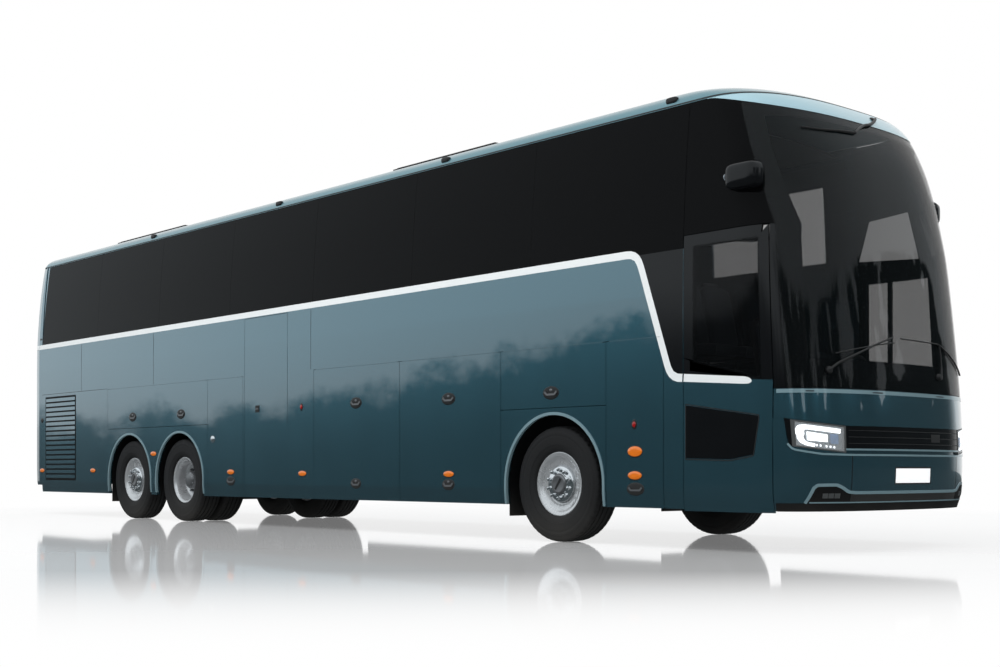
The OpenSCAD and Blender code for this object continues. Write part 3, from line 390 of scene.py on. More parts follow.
def make_patina():
    """Colour and roughness that vary with noise, and dust that thickens towards the ground."""
    tree, gin, gout = shader_group("patina", [("Colour", "Color", (0.5, 0.5, 0.5, 1)),
        ("Spread", "Float", 0.1), ("Scale", "Float", 5.0), ("Roughness", "Float", 0.4),
        ("Roughness Spread", "Float", 0.1), ("Dust Colour", "Color", (0.3, 0.28, 0.25, 1)),
        ("Dust", "Float", 0.0), ("Dust Top", "Float", 0.8)], [("Colour", "Color", None),
        ("Roughness", "Float", None)])
    place = node(tree, "TexCoord").outputs["Object"]
    fine = node(tree, "TexNoise", [("Vector", place), ("Scale", gin.outputs["Scale"])], Detail=4.0)
    broad = node(tree, "TexNoise", [("Vector", place)], Scale=1.7, Detail=3.0)
    swing = maths(tree, "SUBTRACT", fine.outputs[0], 0.5)
    value = maths(tree, "MULTIPLY_ADD", swing, maths(tree, "MULTIPLY", gin.outputs["Spread"], 2.0), 1.0)
    hsv = node(tree, "HueSaturation", [("Value", value), ("Color", gin.outputs["Colour"])])
    z = node(tree, "SeparateXYZ", [("Vector", place)]).outputs[2]
    low = maths(tree, "DIVIDE", maths(tree, "SUBTRACT", gin.outputs["Dust Top"], z),
        gin.outputs["Dust Top"], clamp=True)
    mask = maths(tree, "MULTIPLY", maths(tree, "MULTIPLY", low, low), broad.outputs[0])
    mask = maths(tree, "MULTIPLY", mask, maths(tree, "MULTIPLY", gin.outputs["Dust"], 2.0), clamp=True)
    tree.links.new(blend(tree, mask, hsv.outputs[0], gin.outputs["Dust Colour"]), gout.inputs[0])
    rough = maths(tree, "MULTIPLY_ADD", swing, gin.outputs["Roughness Spread"], gin.outputs["Roughness"])
    tree.links.new(maths(tree, "MULTIPLY_ADD", mask, 0.3, rough, clamp=True), gout.inputs[1])
    return tree


def make_grain():
    """A fine raised grain from noise."""
    tree, gin, gout = shader_group("grain", [("Scale", "Float", 300.0), ("Depth", "Float", 0.1)],
        [("Normal", "Vector", None)])
    place = node(tree, "TexCoord").outputs["Object"]
    noise = node(tree, "TexNoise", [("Vector", place), ("Scale", gin.outputs["Scale"])], Detail=2.0)
    bump = node(tree, "Bump", [("Height", noise.outputs[0]), ("Strength", gin.outputs["Depth"])],
        Distance=0.002)
    tree.links.new(bump.outputs[0], gout.inputs[0])
    return tree


def make_weave():
    """Threads that cross: a mask and a height from two sets of bands."""
    tree, gin, gout = shader_group("weave", [("Scale", "Float", 90.0), ("Depth", "Float", 0.4)],
        [("Mask", "Float", None), ("Normal", "Vector", None)])
    place = node(tree, "TexCoord").outputs["Object"]
    one = node(tree, "TexWave", [("Vector", place), ("Scale", gin.outputs["Scale"])], bands_direction="Y")
    two = node(tree, "TexWave", [("Vector", place), ("Scale", gin.outputs["Scale"])], bands_direction="Z")
    mask = maths(tree, "MAXIMUM", one.outputs["Fac"], two.outputs["Fac"])
    bump = node(tree, "Bump", [("Height", mask), ("Strength", gin.outputs["Depth"])], Distance=0.002)
    tree.links.new(mask, gout.inputs[0])
    tree.links.new(bump.outputs[0], gout.inputs[1])
    return tree


PATINA, GRAIN, WEAVE = make_patina(), make_grain(), make_weave()


def srgb(r, g, b):
    """A colour given as it shows on a screen, 0 to 255, made linear."""
    c = np.array([r, g, b]) / 255
    c = np.where(c <= 0.04045, c / 12.92, ((c + 0.055) / 1.055) ** 2.4)
    return tuple(float(v) for v in c) + (1.0,)


def finish(name, colour, rough, spread=0.06, scale=4.0, rough_spread=0.08, grain=0.0, grain_scale=300.0,
    dust=0.0, dust_top=0.9, dust_colour=(0.30, 0.28, 0.25, 1), **sockets):
    """A finish: the patina group's colour and roughness, the grain group's normal, and plain sockets."""
    mat = bpy.data.materials.new(name)
    mat.use_nodes = True
    tree = mat.node_tree
    shader = tree.nodes["Principled BSDF"]
    g = tree.nodes.new("ShaderNodeGroup")
    g.node_tree = PATINA
    for label, value in (("Colour", colour), ("Spread", spread), ("Scale", scale), ("Roughness", rough),
        ("Roughness Spread", rough_spread), ("Dust", dust), ("Dust Top", dust_top),
        ("Dust Colour", dust_colour)):
        g.inputs[label].default_value = value
    tree.links.new(g.outputs["Colour"], shader.inputs["Base Color"])
    tree.links.new(g.outputs["Roughness"], shader.inputs["Roughness"])
    if grain:
        h = tree.nodes.new("ShaderNodeGroup")
        h.node_tree = GRAIN
        h.inputs["Scale"].default_value, h.inputs["Depth"].default_value = grain_scale, grain
        tree.links.new(h.outputs["Normal"], shader.inputs["Normal"])
    for label, value in sockets.items():
        shader.inputs[label.replace("_", " ")].default_value = value
    return mat


def cloth(name, colour, second):
    mat = finish(name, colour, 0.85, spread=0.12, scale=14.0, Sheen_Weight=0.3)
    tree = mat.node_tree
    w = tree.nodes.new("ShaderNodeGroup")
    w.node_tree = WEAVE
    shader = tree.nodes["Principled BSDF"]
    base = shader.inputs["Base Color"].links[0].from_socket
    tree.links.new(blend(tree, w.outputs["Mask"], second, base), shader.inputs["Base Color"])
    tree.links.new(w.outputs["Normal"], shader.inputs["Normal"])
    return mat


PAINT_COLOUR = srgb(54, 102, 117)
paint = finish("teal_paint", PAINT_COLOUR, 0.19, 0.05, 1.6, 0.06, dust=0.08, dust_top=1.3,
    dust_colour=srgb(70, 84, 88), Metallic=0.85, Coat_Weight=1.0, Coat_Roughness=0.012, Coat_IOR=1.9)
roof_paint = finish("roof_paint", srgb(96, 136, 146), 0.36, 0.05, 1.2, 0.08, Metallic=0.6, Coat_Weight=0.8,
    Coat_Roughness=0.05)
stripe_white = finish("stripe_white", srgb(232, 236, 236), 0.3, 0.03, 6.0, Coat_Weight=0.6)
gloss_black = finish("gloss_black", srgb(12, 13, 15), 0.12, 0.2, 3.0, 0.05, Specular_IOR_Level=0.3)
satin_black = finish("satin_black", srgb(20, 20, 21), 0.5, 0.2, 8.0, 0.15, grain=0.15, grain_scale=500.0,
    dust=0.3, dust_top=0.7)
trim_black = finish("trim_black", srgb(9, 9, 10), 0.75, 0.25, 12.0, 0.1, grain=0.25, grain_scale=400.0,
    dust=0.18, dust_top=0.6, Specular_IOR_Level=0.2)
frame_steel = finish("frame_steel", srgb(24, 24, 25), 0.7, 0.3, 9.0, 0.2, dust=0.4, dust_top=1.0)
rubber = finish("rubber", srgb(27, 27, 28), 0.72, 0.15, 18.0, 0.12, grain=0.12, grain_scale=700.0, dust=0.3,
    dust_top=0.5, dust_colour=srgb(88, 84, 78), Specular_IOR_Level=0.35)
seal_rubber = finish("seal_rubber", srgb(8, 8, 9), 0.6, 0.2, 30.0, grain=0.1)
chrome = finish("chrome", srgb(224, 226, 228), 0.12, 0.04, 7.0, 0.10, dust=0.12, dust_top=0.9, Metallic=1.0)
alloy = finish("wheel_alloy", srgb(206, 208, 210), 0.26, 0.05, 9.0, 0.1, dust=0.12, dust_top=0.9,
    Metallic=0.62, Coat_Weight=0.4)
hub_grey = finish("hub_grey", srgb(128, 129, 131), 0.35, 0.08, 20.0, 0.1, Metallic=0.8)
# Near-black ovals laid on the wheels: painted shade where the holes through the disc would be.
painted_hole_shade = finish("painted_hole_shade", srgb(5, 5, 5), 0.9, 0.2, 30.0, Specular_IOR_Level=0.1)
floor_grey = finish("cabin_floor", srgb(64, 66, 70), 0.75, 0.12, 25.0, grain=0.3, grain_scale=250.0)
# The blind cloth glows faintly: painted light for daylight through the cloth, though it is no lamp.
self_lit_blind_cloth = finish("self_lit_blind_cloth", srgb(190, 190, 188), 0.9, 0.04, 30.0, Emission_Color=(1, 1, 1, 1),
    Emission_Strength=0.30)
dark_lining = finish("dark_lining", srgb(58, 60, 62), 0.7, 0.05, 6.0, grain=0.2, grain_scale=420.0)
dash_plastic = finish("dash_plastic", srgb(40, 41, 44), 0.55, 0.1, 10.0, grain=0.35, grain_scale=520.0)
dial_face = finish("dial_face", srgb(18, 20, 24), 0.15, 0.1, 40.0, Specular_IOR_Level=0.5)
seat_cloth = cloth("seat_cloth", srgb(60, 70, 84), srgb(36, 42, 54))
seat_trim = finish("seat_leather", srgb(34, 36, 40), 0.45, 0.12, 30.0, 0.15, grain=0.35, grain_scale=260.0)
lamp_clear = finish("lamp_clear", srgb(235, 240, 242), 0.04, 0.02, 3.0, 0.02, Alpha=0.16)
lamp_glow = finish("lamp_glow", srgb(255, 255, 255), 0.3, 0.02, 3.0)
lamp_glow.node_tree.nodes["Principled BSDF"].inputs["Emission Color"].default_value = (0.92, 0.96, 1, 1)
lamp_glow.node_tree.nodes["Principled BSDF"].inputs["Emission Strength"].default_value = 1.3
reflector = finish("reflector", srgb(190, 194, 198), 0.14, 0.1, 20.0, Metallic=1.0)
lamp_red = finish("lamp_red", srgb(150, 12, 14), 0.12, 0.1, 40.0, grain=0.5, grain_scale=160.0,
    Coat_Weight=0.8)
lamp_amber = finish("lamp_amber", srgb(226, 116, 18), 0.12, 0.1, 40.0, grain=0.5, grain_scale=160.0,
    Coat_Weight=0.8)
# The plates glow faintly: painted light that keeps them white in shade; they are no lamps.
self_lit_plate_white = finish("self_lit_plate_white", srgb(248, 249, 249), 0.4, 0.02, 12.0, Emission_Color=(1, 1, 1, 1),
    Emission_Strength=0.35)
# This pale teal is a lighter copy of the roof's paint: a painted highlight for sky light on the strip above
# the windscreen.
sky_highlight_crown_paint = finish("sky_highlight_crown_paint", srgb(160, 194, 204), 0.34, 0.04, 3.0, Metallic=0.3, Coat_Weight=0.7)
# This pale teal is a lighter copy of the body's paint: on the waist's top edge, the bumper's rolled edges
# and the arch lips it is a painted highlight; on the grille line and the bumper strip it is the trim's own
# pale colour.
pale_trim_and_edge_highlight = finish("pale_trim_and_edge_highlight", srgb(132, 160, 168), 0.3, 0.05, 3.0, Metallic=0.4, Coat_Weight=0.8)


def glass(name, colour, alpha, level_=0.22):
    return finish(name, colour, 0.02, 0.05, 2.0, 0.01, Alpha=alpha, Specular_IOR_Level=level_)


screen_glass = glass("screen_glass", srgb(14, 17, 18), 0.42, 0.30)
dark_glass = glass("dark_glass", srgb(7, 7, 8), 0.975, 0.06)
side_glass = glass("side_glass", srgb(26, 30, 31), 0.42)
door_glass = glass("door_glass", srgb(12, 13, 14), 0.50, 0.2)

# ---- finishes of the CAD nodes that show ----
TRIM_NODES = {"wheel_liners": trim_black, "front_door_arms": satin_black, "roof_hatches": satin_black,
    "front_pillars": gloss_black}
PAINTED = ("right_wall", "left_wall", "front_panel", "front_bumper", "rear_panel", "front_door", "mid_door",
    "luggage_door_right_1", "luggage_door_right_2", "luggage_door_left_1", "luggage_door_left_2",
    "flap_front_right", "flap_rear_right", "flap_front_left", "flap_rear_left", "service_door_front",
    "service_door_mid", "engine_lid")
for name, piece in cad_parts.items():
    if name in TRIM_NODES:
        material = TRIM_NODES[name]
    elif name in PAINTED:
        material = paint
    else:
        material = floor_grey if name == "cabin_floor" else frame_steel
    piece.data.materials.clear()
    piece.data.materials.append(material)

# ---- roof ----
def roof_ring(z, t):
    """The body's whole outline at height z: round the nose, along the left side, round the tail and back."""
    s = np.linspace(-1, 1, 65)
    r = np.linspace(1, -1, 57)
    straight = np.linspace(0, 1, 12)[1:-1, None]
    ahead, behind = nose(s, z, t), tail(r, z, t)
    left_run = ahead[-1] * (1 - straight) + behind[0] * straight
    right_run = behind[-1] * (1 - straight) + ahead[0] * straight
    return np.concatenate([ahead, left_run, behind, right_run])


roof = Shape()
roof_levels = np.concatenate([np.linspace(CORNICE_Z + 0.002, 3.70, 6),
    ROOF_Z * np.linspace(.963, 1, 22)[1:]])
outer = np.stack([roof_ring(z, 0.0) for z in roof_levels])
inner = np.stack([roof_ring(z, 0.045) for z in roof_levels])
inner[..., 2] = np.maximum(inner[..., 2], CORNICE_Z + 0.002)
rings = np.concatenate([inner[::-1], outer])
roof.tube_grid(rings)
build("roof_skin", roof, roof_paint, "root", "roof_paint", "roof_panel")

HATCH_HALF = 0.82
for name, x0, x1 in (("roof_hatch_front", 1.25, 2.90), ("roof_hatch_rear", -5.20, -3.30)):
    cover = Shape()
    for inset, low, high in ((0.0, 3.80, 3.888), (0.03, 3.86, 3.9035)):
        y = np.linspace(-1, 1, 41) * (HATCH_HALF - inset)
        x = np.linspace(x0 + inset, x1 - inset, 18)
        gx, gy = np.meshgrid(x, y, indexing="ij")
        edge = np.minimum(1, np.minimum(x1 - inset - gx, gx - x0 - inset) / 0.05)
        edge = np.minimum(edge, (HATCH_HALF - inset - np.abs(gy)) / 0.03)
        top = high - 0.002 * (gy / HATCH_HALF) ** 2 - 0.006 * (1 - np.clip(edge, 0, 1)) ** 2
        cover.slab(np.stack([gx, gy, top], -1), np.stack([gx, gy, np.minimum(top - 0.02, low + 0 * gx)],
            -1))
    for x in np.arange(x0 + 0.25, x1 - 0.2, 0.11):
        rib = np.stack([np.full(9, x), np.linspace(-0.5, 0.5, 9), np.full(9, 3.8955)], -1)
        tube(rib, 0.008, cover, 6)
    build(name, cover, satin_black, "root", "black_trim", *(["roof_hatches"] if "front" in name else []))

# ---- side glazing ----
PITCH = (WALL_X1 - WALL_X0 - 0.13) / 7
PANE_LOW, PANE_HIGH, GLASS = SILL_Z + 0.002, CORNICE_Z - 0.002, 0.006
panes, seams, rear_panes, front_panes = Shape(), Shape(), Shape(), Shape()
for i in range(7):
    x0 = WALL_X0 + i * PITCH + (0 if i == 0 else 0.065)
    x1 = WALL_X0 + (i + 1) * PITCH + 0.0625 + (0.065 if i == 6 else 0)
    slant = 0.09 if i == 0 else 0
    area(right, [(x0 + slant * 0.2, PANE_LOW), (x1, PANE_LOW)], [(x0 + slant, PANE_HIGH), (x1, PANE_HIGH)],
        0, GLASS, 26, 5, panes)
    if i:
        box_on(right, x0 - 0.0045, x0 + 0.0005, PANE_LOW, PANE_HIGH, 0.0012, GLASS, 20, 2, seams)
    if i < 6:
        box_on(left, x0, x1, PANE_LOW, PANE_HIGH, 0, GLASS, 26, 5, rear_panes)
build("side_panes_right", panes, dark_glass, "root", "dark_glass", "body_glass")
CLEAR_X, CLEAR_LOW, CLEAR_HIGH = 5.33, 2.625, 3.34
x0 = WALL_X0 + 6 * PITCH + 0.065
box_on(left, x0, CLEAR_X, CLEAR_LOW, CLEAR_HIGH, 0, GLASS, 16, 6, front_panes)
box_on(left, x0, CLEAR_X, PANE_LOW, CLEAR_LOW, 0, GLASS, 5, 6, rear_panes)
box_on(left, x0, CLEAR_X, CLEAR_HIGH, PANE_HIGH, 0, GLASS, 12, 6, rear_panes)
box_on(left, CLEAR_X, WALL_X1, PANE_LOW, PANE_HIGH, 0, GLASS, 26, 6, rear_panes)
build("side_panes_left_rear", rear_panes, dark_glass, "root", "dark_glass")
build("side_panes_left_front", front_panes, side_glass, "root", "dark_glass")
pair("pane_seals", seams, seal_rubber)


def screen_edge(z):
    return np.interp(z, [SCREEN_Z, DOOR_TOP, 3.60], [6.71, 6.59, 6.21])


def between(place, x0_at, x1_at, z0, z1, t0, t1, cols=14, shape=None, rows=30):
    """A sheet on the skin between two upright lines, given as places along the body at each height."""
    shape = shape or Shape()
    z = np.linspace(z0, z1, rows)[:, None] + np.zeros((1, cols))
    u = np.linspace(0, 1, cols)[None]
    x = x0_at(z) * (1 - u) + x1_at(z) * u
    shape.slab(place(x, z, t0), place(x, z, t1))
    return shape


CLEAR_CORNER = 3.0


def screen_side(name, place, z0, z1, material, inset=0.005):
    """A pane from the front end of the wall to the windscreen's edge."""
    pane_at_z = between(place, lambda z: WALL_X1 + 0.002 + 0 * z, lambda z: screen_edge(z) - inset, z0, z1,
        0, GLASS)
    build(name, pane_at_z, material, "root", "dark_glass")


screen_side("corner_pane_right", right, DOOR_TOP + 0.006, PANE_HIGH, dark_glass)
screen_side("corner_pane_left", left, CLEAR_CORNER, PANE_HIGH, dark_glass)
screen_side("corner_pane_left_low", left, DOOR_TOP - 0.06, CLEAR_CORNER, side_glass, 0.06)
screen_side("driver_window", left, SCREEN_Z + 0.002, DOOR_TOP - 0.064, side_glass)
window_bars = Shape()
box_on(left, 6.015, 6.055, 1.46, 2.49, 0.0062, 0.03, 16, 3, window_bars)
between(left, lambda z: 6.475 + 0 * z, lambda z: screen_edge(z) - 0.006, 1.46, 2.49, 0.0062, 0.02, 6,
    window_bars, 16)
between(left, lambda z: screen_edge(z) - 0.062, lambda z: screen_edge(z) - 0.006, 2.49, CLEAR_CORNER, 0.0,
    0.02, 4, window_bars, 10)
box_on(left, 5.735, 6.50, 2.375, 2.555, 0.0062, 0.03, 6, 12, window_bars)
build("driver_window_bars", window_bars, satin_black)
# A pale blind behind the driver's window, glowing with painted light from its material.
blind = area(left, [(5.74, 2.585), (6.37, 2.545)], [(5.86, 2.94), (6.27, 2.975)], 0.0603, 0.0640, 8, 8)
build("driver_side_blind", blind, self_lit_blind_cloth)
slim_right = between(right, lambda z: np.interp(z, [SCREEN_Z, DOOR_TOP], [6.622, 6.552]),
    lambda z: screen_edge(z) - 0.005, SCREEN_Z + 0.002, DOOR_TOP + 0.002, 0, GLASS, 6)
build("door_side_strip", slim_right, gloss_black)
rear_y = np.linspace(-0.937, 0.937, 41)[None]
rear_z = np.linspace(2.652, 3.448, 20)[:, None]
rear_window = Shape()
rear_window.slab(back(rear_y, rear_z, 0.001), back(rear_y, rear_z, 0.008))
build("rear_window", rear_window, dark_glass, "root", "dark_glass")

# ---- windscreen ----
screen = Shape()
sz = np.linspace(SCREEN_Z, PANE_HIGH, 44)[:, None]
su = np.linspace(-1, 1, 61)[None]
edge_s = nose_s(screen_edge(sz), sz)
screen.slab(nose(su * edge_s, sz, 0.0), nose(su * edge_s, sz, GLASS))
build("windscreen_pane", screen, screen_glass, "root", "clear_glass", "windscreen")
frit = Shape()
for z0, z1 in ((SCREEN_Z + 0.002, 1.50), (3.44, 3.60)):
    fz = np.linspace(z0, z1, 10)[:, None]
    fe = nose_s(screen_edge(fz), fz)
    frit.slab(nose(su * fe, fz, GLASS + 0.0015), nose(su * fe, fz, GLASS + 0.004))
for side in (-1, 1):
    fz = np.linspace(1.48, 3.46, 26)[:, None]
    fe = nose_s(screen_edge(fz), fz)
    fu = np.linspace(0, 1, 5)[None]
    inner_s = fe - 0.055 + 0.03 * np.clip((3.2 - fz) / 2, 0, 1)
    frit.slab(nose(side * (fe * (1 - fu) + inner_s * fu), fz, GLASS + 0.0015),
        nose(side * (fe * (1 - fu) + inner_s * fu), fz, GLASS + 0.004))
build("screen_border", frit, gloss_black)
# The strip above the windscreen carries a painted highlight in its lighter paint.
crown_s = np.linspace(-0.99, 0.99, 91)[None]
crown_foot = np.minimum(3.508 + 0.145 * np.abs(crown_s / 0.98) ** 3, PANE_HIGH - 0.002)
crown_z = crown_foot + (PANE_HIGH + 0.001 - crown_foot) * np.linspace(0, 1, 8)[:, None]
crown = Shape()
crown.slab(nose(crown_s, crown_z, -0.0012), nose(crown_s, crown_z, 0.004))
build("screen_crown", crown, sky_highlight_crown_paint, "root", "roof_paint")

# ---- front panels ----
def nose_band(z0, z1, t0, t1, s0, s1, rows=14, cols=90, shape=None):
    """A band round the front from s0 to s1 (each a number or a function of z)."""
    shape = shape or Shape()
    z = np.linspace(z0, z1, rows)[:, None]
    a = s0(z) if callable(s0) else s0
    b = s1(z) if callable(s1) else s1
    s = a + (b - a) * np.linspace(0, 1, cols)[None]
    shape.slab(nose(s, z, t0), nose(s, z, t1))
    return shape


def door_side(z):
    return -nose_s(6.620 + 0 * z, z)


def left_side(z):
    return nose_s(SIDE_X1 + 0.001 + 0 * z, z)


waist = nose_band(PANEL_Z, SCREEN_Z - 0.004, 0, 0.03, door_side, left_side)
ws = np.linspace(-0.80, 0.80, 81)[None]
waist_foot = 0.988 + 0.058 * np.clip((np.abs(ws) - 0.36) / 0.44, 0, 1)
wz = waist_foot + (PANEL_Z + 0.001 - waist_foot) * np.linspace(0, 1, 6)[:, None]
waist.slab(nose(ws, wz, 0.0), nose(ws, wz, 0.0238))
build("front_waist", waist, paint, "root", "body_paint", "front_panel")
# A pale band along the waist's top edge: a painted highlight.
waist_highlight = nose_band(1.238, 1.268, -0.0022, 0.002, lambda z: door_side(z) + 0.02,
    lambda z: left_side(z) - 0.02, 5)
build("waist_edge_highlight", waist_highlight, pale_trim_and_edge_highlight, "root", "body_paint")
bumper = nose_band(SKIRT_Z, BUMPER_Z, 0, 0.035, door_side, left_side, 30)
nose_band(BUMPER_Z - 0.0005, PANEL_Z, 0.024, 0.05, door_side, left_side, 12, 90, bumper)
build("bumper_skin", bumper, paint, "root", "body_paint", "front_bumper")
band = nose_band(0.815, 0.992, 0.006, 0.024, -0.366, 0.366, 10, 60)
build("grille_band", band, gloss_black)
slats = Shape()
for z in (0.850, 0.900, 0.950):
    nose_band(z, z + 0.006, 0.0045, 0.008, -0.35, 0.35, 4, 50, slats)
nose_band(0.872, 0.938, 0.004, 0.008, 0.085, 0.150, 4, 8, slats)
build("grille_slats", slats, satin_black)
line = nose_band(0.799, 0.813, 0.0015, 0.01, -0.372, 0.372, 4, 50)
build("grille_line", line, pale_trim_and_edge_highlight, "root", "chrome")

lamp_case, lamp_mirror, lamp_lens, lamp_cover, lamp_strip = Shape(), Shape(), Shape(), Shape(), Shape()


def lamp_place(a, b, t):
    """The right headlamp's own places: a across from its inner end outward, b up, both 0 to 1."""
    return nose(-(0.368 + (0.372 + 0.013 * b) * a), 0.779 + 0.049 * a + 0.207 * b, t)


def on_nose(a, b, t):
    """Places on the right half of the nose, a being -s."""
    return nose(-a, b, t)


box_on(lamp_place, 0, 1, 0, 1, 0.017, 0.0235, 10, 24, lamp_case)
box_on(lamp_place, 0, 1, 0, 0.05, 0.001, 0.018, 3, 24, lamp_case)
box_on(lamp_place, 0, 1, 0.94, 1, 0.001, 0.018, 3, 24, lamp_case)
box_on(lamp_place, 0.92, 1, 0.04, 0.95, 0.001, 0.018, 10, 4, lamp_case)
box_on(lamp_place, 0, 0.03, 0.04, 0.95, 0.001, 0.018, 10, 4, lamp_case)
box_on(lamp_place, 0.05, 0.90, 0.08, 0.92, 0.0145, 0.0165, 8, 20, lamp_mirror)
box_on(lamp_place, 0.03, 0.93, 0.04, 0.95, 0.0015, 0.004, 8, 20, lamp_cover)
LAMP_C = [(0.09, 0.78), (0.70, 0.79), (0.80, 0.76), (0.835, 0.66), (0.835, 0.36), (0.79, 0.22),
    (0.70, 0.17), (0.56, 0.14)]
ribbon(lamp_place, LAMP_C, [0.17] * 40 + [0.13] * 20, 0.006, 0.012, 60, lamp_strip)
area(lamp_place, [(0.32, 0.32), (0.70, 0.30)], [(0.32, 0.60), (0.70, 0.62)], 0.006, 0.013, 6, 12,
    lamp_strip)
for a in (0.20, 0.27, 0.34, 0.45, 0.52):
    disc_on(lamp_place, a, 0.16, 0.014, 0.045, 0.006, 0.012, lamp_strip, 12)
box_on(lamp_place, 0.13, 0.27, 0.28, 0.64, 0.006, 0.013, 6, 8, lamp_lens)
lens_glass = finish("lens_glass", srgb(150, 160, 168), 0.05, 0.05, 10.0, Metallic=0.3, Coat_Weight=1.0)
blue_lens = finish("blue_lens", srgb(70, 128, 186), 0.08, 0.1, 30.0, Metallic=0.4, Coat_Weight=1.0)
lamp_grey = finish("lamp_grey", srgb(92, 94, 94), 0.35, 0.1, 12.0, Metallic=0.5)
pair("headlamp_case", lamp_case, lamp_grey, "root", "lamp")
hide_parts("lamp_units")
pair("headlamp_mirror", lamp_mirror, reflector, "root", "lamp")
pair("headlamp_lens", lamp_lens, blue_lens, "root", "lamp")
pair("headlamp_strip", lamp_strip, lamp_glow, "root", "lamp")
pair("headlamp_cover", lamp_cover, lamp_clear, "root", "lamp")
shade = area(on_nose, [(0.742, 0.829), (0.764, 0.850)], [(0.755, 1.036), (0.802, 1.044)], -0.001, 0.02, 8,
    8)
pair("lamp_outer_corner", shade, gloss_black)
# Painted parts level with the skin: outboard of the lamp and between the lamp and the bumper's edge.
beside = Shape()
outboard = nose_s(6.617, 0.9)
area(on_nose, [(0.762, BUMPER_Z - 0.004), (outboard, BUMPER_Z - 0.004)],
    [(0.800, 1.044), (outboard, 1.044)], 0, 0.0235, 12, 8, beside)
area(on_nose, [(0.366, BUMPER_Z - 0.004), (0.79, BUMPER_Z - 0.004)],
    [(0.366, 0.777), (0.741, 0.826), (0.790, 0.862)], 0, 0.0235, 6, 24, beside)
pair("lamp_surround", beside, paint, "root", "body_paint")

# Bumper: the recess with fog lamps, the lip with its strip, seams and the blank plate.
recess = Shape()
area(on_nose, [(0.625, 0.398), (0.33, 0.398)], [(0.566, 0.522), (0.42, 0.522), (0.33, 0.464)], -0.0012,
    0.01, 10, 24, recess)
pair("fog_lamp_recess", recess, trim_black)
build("bumper_low_band", nose_band(0.398, 0.464, -0.0012, 0.01, -0.331, 0.331, 5, 50), satin_black)
fog = Shape()
for a in (0.400, 0.440, 0.480):
    box_on(on_nose, a, a + 0.036, 0.430, 0.468, -0.004, 0.002, 4, 5, fog)
pair("fog_lamps", fog, lamp_grey, "root", "lamp")
# Pale strips on the bumper's rolled edges: painted highlights.
edges = Shape()
LOW_EDGE = [(-0.630, 0.392), (-0.612, 0.430), (-0.580, 0.510), (-0.555, 0.531), (-0.425, 0.533),
    (-0.390, 0.515), (-0.345, 0.478), (-0.300, 0.472)]
TOP_EDGE = [(-0.775, 0.850), (-0.745, 0.815), (-0.720, 0.803), (-0.620, 0.785), (-0.525, 0.770),
    (-0.330, 0.764)]
for line_path, wide in ((LOW_EDGE, 0.024), (TOP_EDGE, 0.015)):
    mirrored = [(-a, b) for a, b in line_path[::-1]]
    ribbon(nose, line_path + mirrored, wide, -0.0028, 0.004, 150, edges)
build("bumper_edge_highlights", edges, pale_trim_and_edge_highlight, "root", "body_paint")
lip = nose_band(SKIRT_Z - 0.002, 0.392, -0.0025, 0.02, lambda z: door_side(z) + 0.01,
    lambda z: left_side(z) - 0.01, 8)
build("bumper_lip", lip, trim_black)
strip_low = nose_band(0.392, 0.402, -0.004, 0.004, -0.60, 0.60, 4, 60)
build("bumper_strip", strip_low, pale_trim_and_edge_highlight, "root", "chrome")
creases = Shape()
for side in (-1, 1):
    nose_band(0.484, BUMPER_Z - 0.012, -0.0008, 0.004, side * 0.327, side * 0.3315, 8, 3, creases)
build("bumper_seams", creases, seal_rubber)
build("plate_holder", box_on(front, -0.252, 0.272, 0.533, 0.672, -0.0001, 0.005, 6, 20), satin_black)
# The blank plate glows with painted light from its material.
plate = box_on(front, -0.24, 0.26, 0.545, 0.660, -0.0003, 0.003, 6, 20)
build("blank_plate", plate, self_lit_plate_white, "root", "lamp")
slots = Shape()
for s in (-0.60, -0.16, 0.16, 0.60):
    nose_band(1.247, 1.256, -0.0032, 0.003, s - 0.03, s + 0.03, 3, 8, slots)
build("waist_slots", slots, seal_rubber)

# ---- front door ----
def door_front_edge(z):
    return np.interp(z, [SCREEN_Z, DOOR_TOP], [6.615, 6.545])


DOOR_SILL = 0.315


def door_ruled(low, high, t0, t1, shape=None, rows=16, cols=16):
    return area(right, low, high, t0, t1, rows, cols, shape)


lower = Shape()
door_ruled([(DOOR_X0, DOOR_SILL), (6.614, DOOR_SILL)], [(DOOR_X0, 1.398), (6.612, 1.340)], 0, 0.034, lower,
    24, 24)
build("door_lower_half", lower, paint, "front_door", "body_paint", "front_door")
upper = Shape()
door_ruled([(DOOR_X0, 1.398), (6.612, 1.340)], [(DOOR_X0, 1.56), (6.605, 1.345)], 0, 0.034, upper)
door_ruled([(DOOR_X0, 1.555), (5.842, 1.52)], [(DOOR_X0, DOOR_TOP), (5.842, DOOR_TOP)], 0, 0.034, upper, 24,
    6)
door_ruled([(6.508, 1.352), (6.612, 1.34)], [(6.468, 2.452), (door_front_edge(DOOR_TOP) - 0.001, DOOR_TOP)],
    0, 0.034, upper, 24, 6)
door_ruled([(5.80, 2.449), (6.49, 2.449)], [(5.80, DOOR_TOP), (6.50, DOOR_TOP)], 0, 0.034, upper, 5, 16)
door_ruled([(5.80, 1.45), (6.55, 1.344)], [(5.80, 1.541), (6.55, 1.352)], 0, 0.034, upper, 6, 16)
build("door_upper_frame", upper, gloss_black, "front_door", "black_trim")
pane = door_ruled([(5.83, 1.52), (6.515, 1.352)], [(5.83, 2.46), (6.475, 2.46)], -0.0012, 0.005, None, 24,
    20)
build("door_pane", pane, door_glass, "front_door", "dark_glass", "front_door_glass")
low_pane = door_ruled([(5.756, 0.743), (6.213, 0.732), (6.439, 0.766)], [(5.756, 1.172), (6.497, 1.067)],
    -0.0014, 0.004, None, 14, 20)
build("door_lower_pane", low_pane, gloss_black, "front_door", "dark_glass")
door_edge = Shape()
ribbon(right, [(5.757, 1.18), (6.50, 1.073), (6.444, 0.757), (6.213, 0.722), (5.757, 0.734), (5.757, 1.18)],
    0.008, -0.0022, 0.003, 90, door_edge)
build("door_pane_edge", door_edge, satin_black, "front_door", "black_trim")

